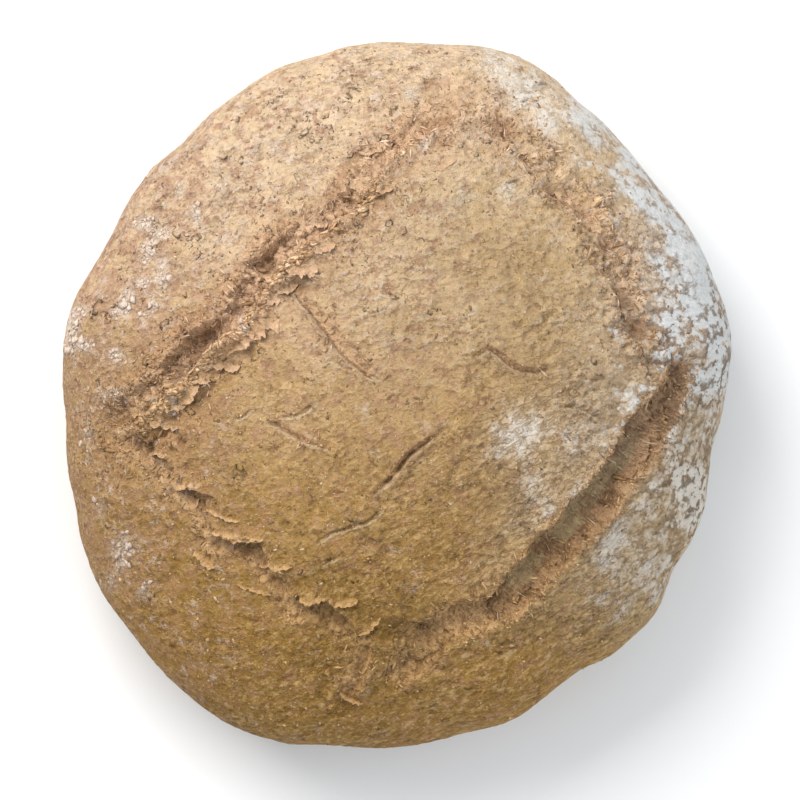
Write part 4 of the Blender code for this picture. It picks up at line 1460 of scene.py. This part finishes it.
# %% Where plates lifted
PLATES = (  # x, y, length, width, turn in degrees, and how far the free edge lifts
    (-72, -30, 11, 5, -10, 0.5), (-55, -48, 18, 4, -8, 0.8), (-30, -69, 10, 4.6, 0, 0.7),
    (-19, -70, 10, 4.4, -5, 1), (-42, -58, 12, 3.2, -5, 0.8), (-60, -41, 12, 2.6, -20, 0.6),
    (-66, -56, 9, 4, -35, 0.7), (-49, -66, 13, 2.4, -20, 0.6), (-33, 43, 11, 6.5, 8, 1.4),
    (-46, 23, 12, 7, 30, 1), (-59, 10, 10, 4.5, -2, 1.6), (-44, 33, 10, 5.5, -4, 1.2),
    (-54, 17, 12, 4, 38, 1), (-71, 1, 14, 4, 47, 1), (-80, -10, 10, 3.6, -12, 1),
    (-83, -19, 9, 3.4, -18, 0.8), (-26, 50, 9, 4, 20, 1), (-11, -91, 9, 3, 60, 0.8),
    (-16, -103, 9, 2.6, -25, 0.6), (-10, -79, 10, 2.6, 35, 0.6), (-10, 71, 16, 4.5, -5, 1.2),
    (-29, 58, 10, 4, 10, 1), (-8, 84, 12, 3.5, 15, 1), (10, 98, 10, 3, 30, 0.8),
    (16, 79, 9, 3, 30, 0.8), (-45, 41, 9, 4, 20, 1), (-50, 28, 9, 4, 15, 1),
    (-66, 6, 10, 4, 15, 1), (-76, -4, 8, 3, 20, 0.8), (-38, 36, 8, 3.4, 25, 1),
    (57, 67, 9, 3, -20, 0.8), (66, 58, 8, 3, -35, 0.8), (76, 40, 8, 3, -60, 0.8),
    (40, 84, 8, 3, -25, 0.8), (-88, -6, 9, 3, 15, 0.8), (-93, -18, 7, 2.6, -10, 0.8),
)

# %% One plate
PLATE_THICK = 0.7
PLATE_STEP = 0.45  # how far apart a plate's points lie
PALEST = 2  # this many plates, from the first, are the palest

crust_tree = BVHTree.FromPolygons((crust_points / MM).tolist(), crust_faces.tolist())


def crust_height(plan):
    """How high the crust is at places seen from above."""
    starts = (Vector((x, y, 200.0)) for x, y in plan.tolist())
    return np.array([crust_tree.ray_cast(start, Vector((0, 0, -1)))[0][2] for start in starts])


def plate_mesh(number, x, y, long, wide, turn, lift):
    """Points and faces of one plate, whose free edge is to the right of its axis, and how near
    that edge each point is."""
    columns, rows = 2 + int(long / PLATE_STEP), 2 + int(wide / PLATE_STEP)
    u, v = np.meshgrid(np.linspace(0, 1, columns), np.linspace(0, 1, rows), indexing="ij")
    u, v = u.ravel(), v.ravel()
    seed = np.full(len(u), 7.0 * number)
    fray = 0.6 * lumps(np.column_stack([u * long, seed, seed]), 3.6, 81)
    fray += 0.9 * lumps(np.column_stack([u * long, seed, seed + v]), 1.1, 82)
    reach = wide * np.clip(1 - (2 * u - 1) ** 2, 0.02, 1) ** 0.4 * (0.8 + 0.7 * fray)
    c, s = math.cos(math.radians(turn)), math.sin(math.radians(turn))
    sway = 0.8 * lumps(np.column_stack([u * long, seed, seed + 9]), 6.0, 83)
    forward, right = (u - 0.5) * long, (v - 0.35) * reach + sway
    plan = np.column_stack([x + forward * c + right * s, y + forward * s - right * c])
    bottom = crust_height(plan)
    held = bottom.reshape(columns, rows)[:, 0].repeat(rows)
    grain = 0.35 * lumps(np.column_stack([plan, seed]), 1.6, 84)
    grain += 0.5 * lumps(np.column_stack([u * long / 0.9, v * wide / 3.0, seed]), 1.0, 85)
    over = np.maximum(bottom + 0.15, held - 0.25 + lift * v) + grain * np.minimum(1, 4 * v)
    over = np.where(v == 0, bottom - 0.4, over)
    thick = PLATE_THICK * np.clip(6 * np.minimum(np.minimum(u, 1 - u), 1 - v), 0.15, 1)
    under = over - thick
    points = np.concatenate([np.column_stack([plan, over]), np.column_stack([plan, under])])
    grid = np.arange(columns * rows).reshape(columns, rows)
    quads = (grid[:-1, :-1], grid[1:, :-1], grid[1:, 1:], grid[:-1, 1:])
    a, b, d, e = (corners.ravel() for corners in quads)
    upper = np.concatenate([np.column_stack([a, e, b]), np.column_stack([b, e, d])])
    rim_loop = np.concatenate([grid[:, 0], grid[-1, 1:], grid[-2::-1, -1], grid[0, -2:0:-1]])
    ahead = np.roll(rim_loop, -1)
    far = columns * rows
    wall = np.concatenate([
        np.column_stack([rim_loop, ahead, ahead + far]),
        np.column_stack([rim_loop, ahead + far, rim_loop + far])])
    faces = np.concatenate([upper, upper[:, ::-1] + far, wall[:, ::-1]])
    return points, faces, np.tile(v, 2)


# %% Make the plates
points, faces, outer = [], [], []
begun = pale = 0
for number, plate in enumerate(PLATES):
    made_points, made_faces, made_outer = plate_mesh(number, *plate)
    points.append(made_points)
    faces.append(made_faces + begun)
    outer.append(made_outer)
    begun += len(made_points)
    pale = begun if number < PALEST else pale
plates = make_mesh("lifted_plates", np.concatenate(points) * MM, np.concatenate(faces))
outer = np.concatenate(outer)
note(plates.data, "heated", outer)
note(plates.data, "crest", 0.3 + outer * np.where(np.arange(len(outer)) < pale, 1.2, 0.7))
note(plates.data, "torn", 0.3 + 0.5 * outer)
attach(plates, "root")
plates.data.materials.append(crust_paint)
print("lifted plates:", len(PLATES), "with", sum(map(len, faces)), "triangles")

# %% [markdown]
# ## Clumps of flour
# On the left side the flour lies in low clumps two to four millimetres wide.

# %% Flour clumps
weight = lit * np.maximum(flour_here - 0.3, 0.0) * (centre[:, 0] < -40)
clumps = lie_about(
    "flour_clumps", 16, 260, weight, crumb_shape, kinds=12,
    mean=(2.2, 1.7, 0.7), vary=0.4, tilt=0.25, lift=0.05)

clump_paint, finish, start = new_paint("flour clumps", 0.9)
place = millimetres(start)
browner = noted(start, "tone") * 0.6 + place.part("Y").step(20.0, -40.0) * 0.5
colour = blend(browner, FLOUR_ROSY, LILAC_BROWN)
grainy = cloud(place, 0.8, 2.0) * 0.15
give(finish, "Base Color", shade(colour, 0.85 + 0.2 * cloud(place, 1.0, 3.0, 0.7)))
give(finish, "Normal", start.add("Bump", {}, {"Height": grainy, "Distance": MM}))
clumps.data.materials.append(clump_paint)

# %% [markdown]
# ## Crumbs
# Small crumbs lie in the slashes and beside them.

# %% Crumbs
weight = lit * (0.12 + shaggy_here + lip_here) * (1.0 - 0.8 * np.minimum(flour_here, 1.0))
crumbs = lie_about(
    "crumbs", 14, 5000, weight, crumb_shape, kinds=12,
    mean=(0.8, 0.7, 0.6), vary=0.35, tilt=0.3, lift=0.12)
crumbs.data.materials.append(shred_paint)
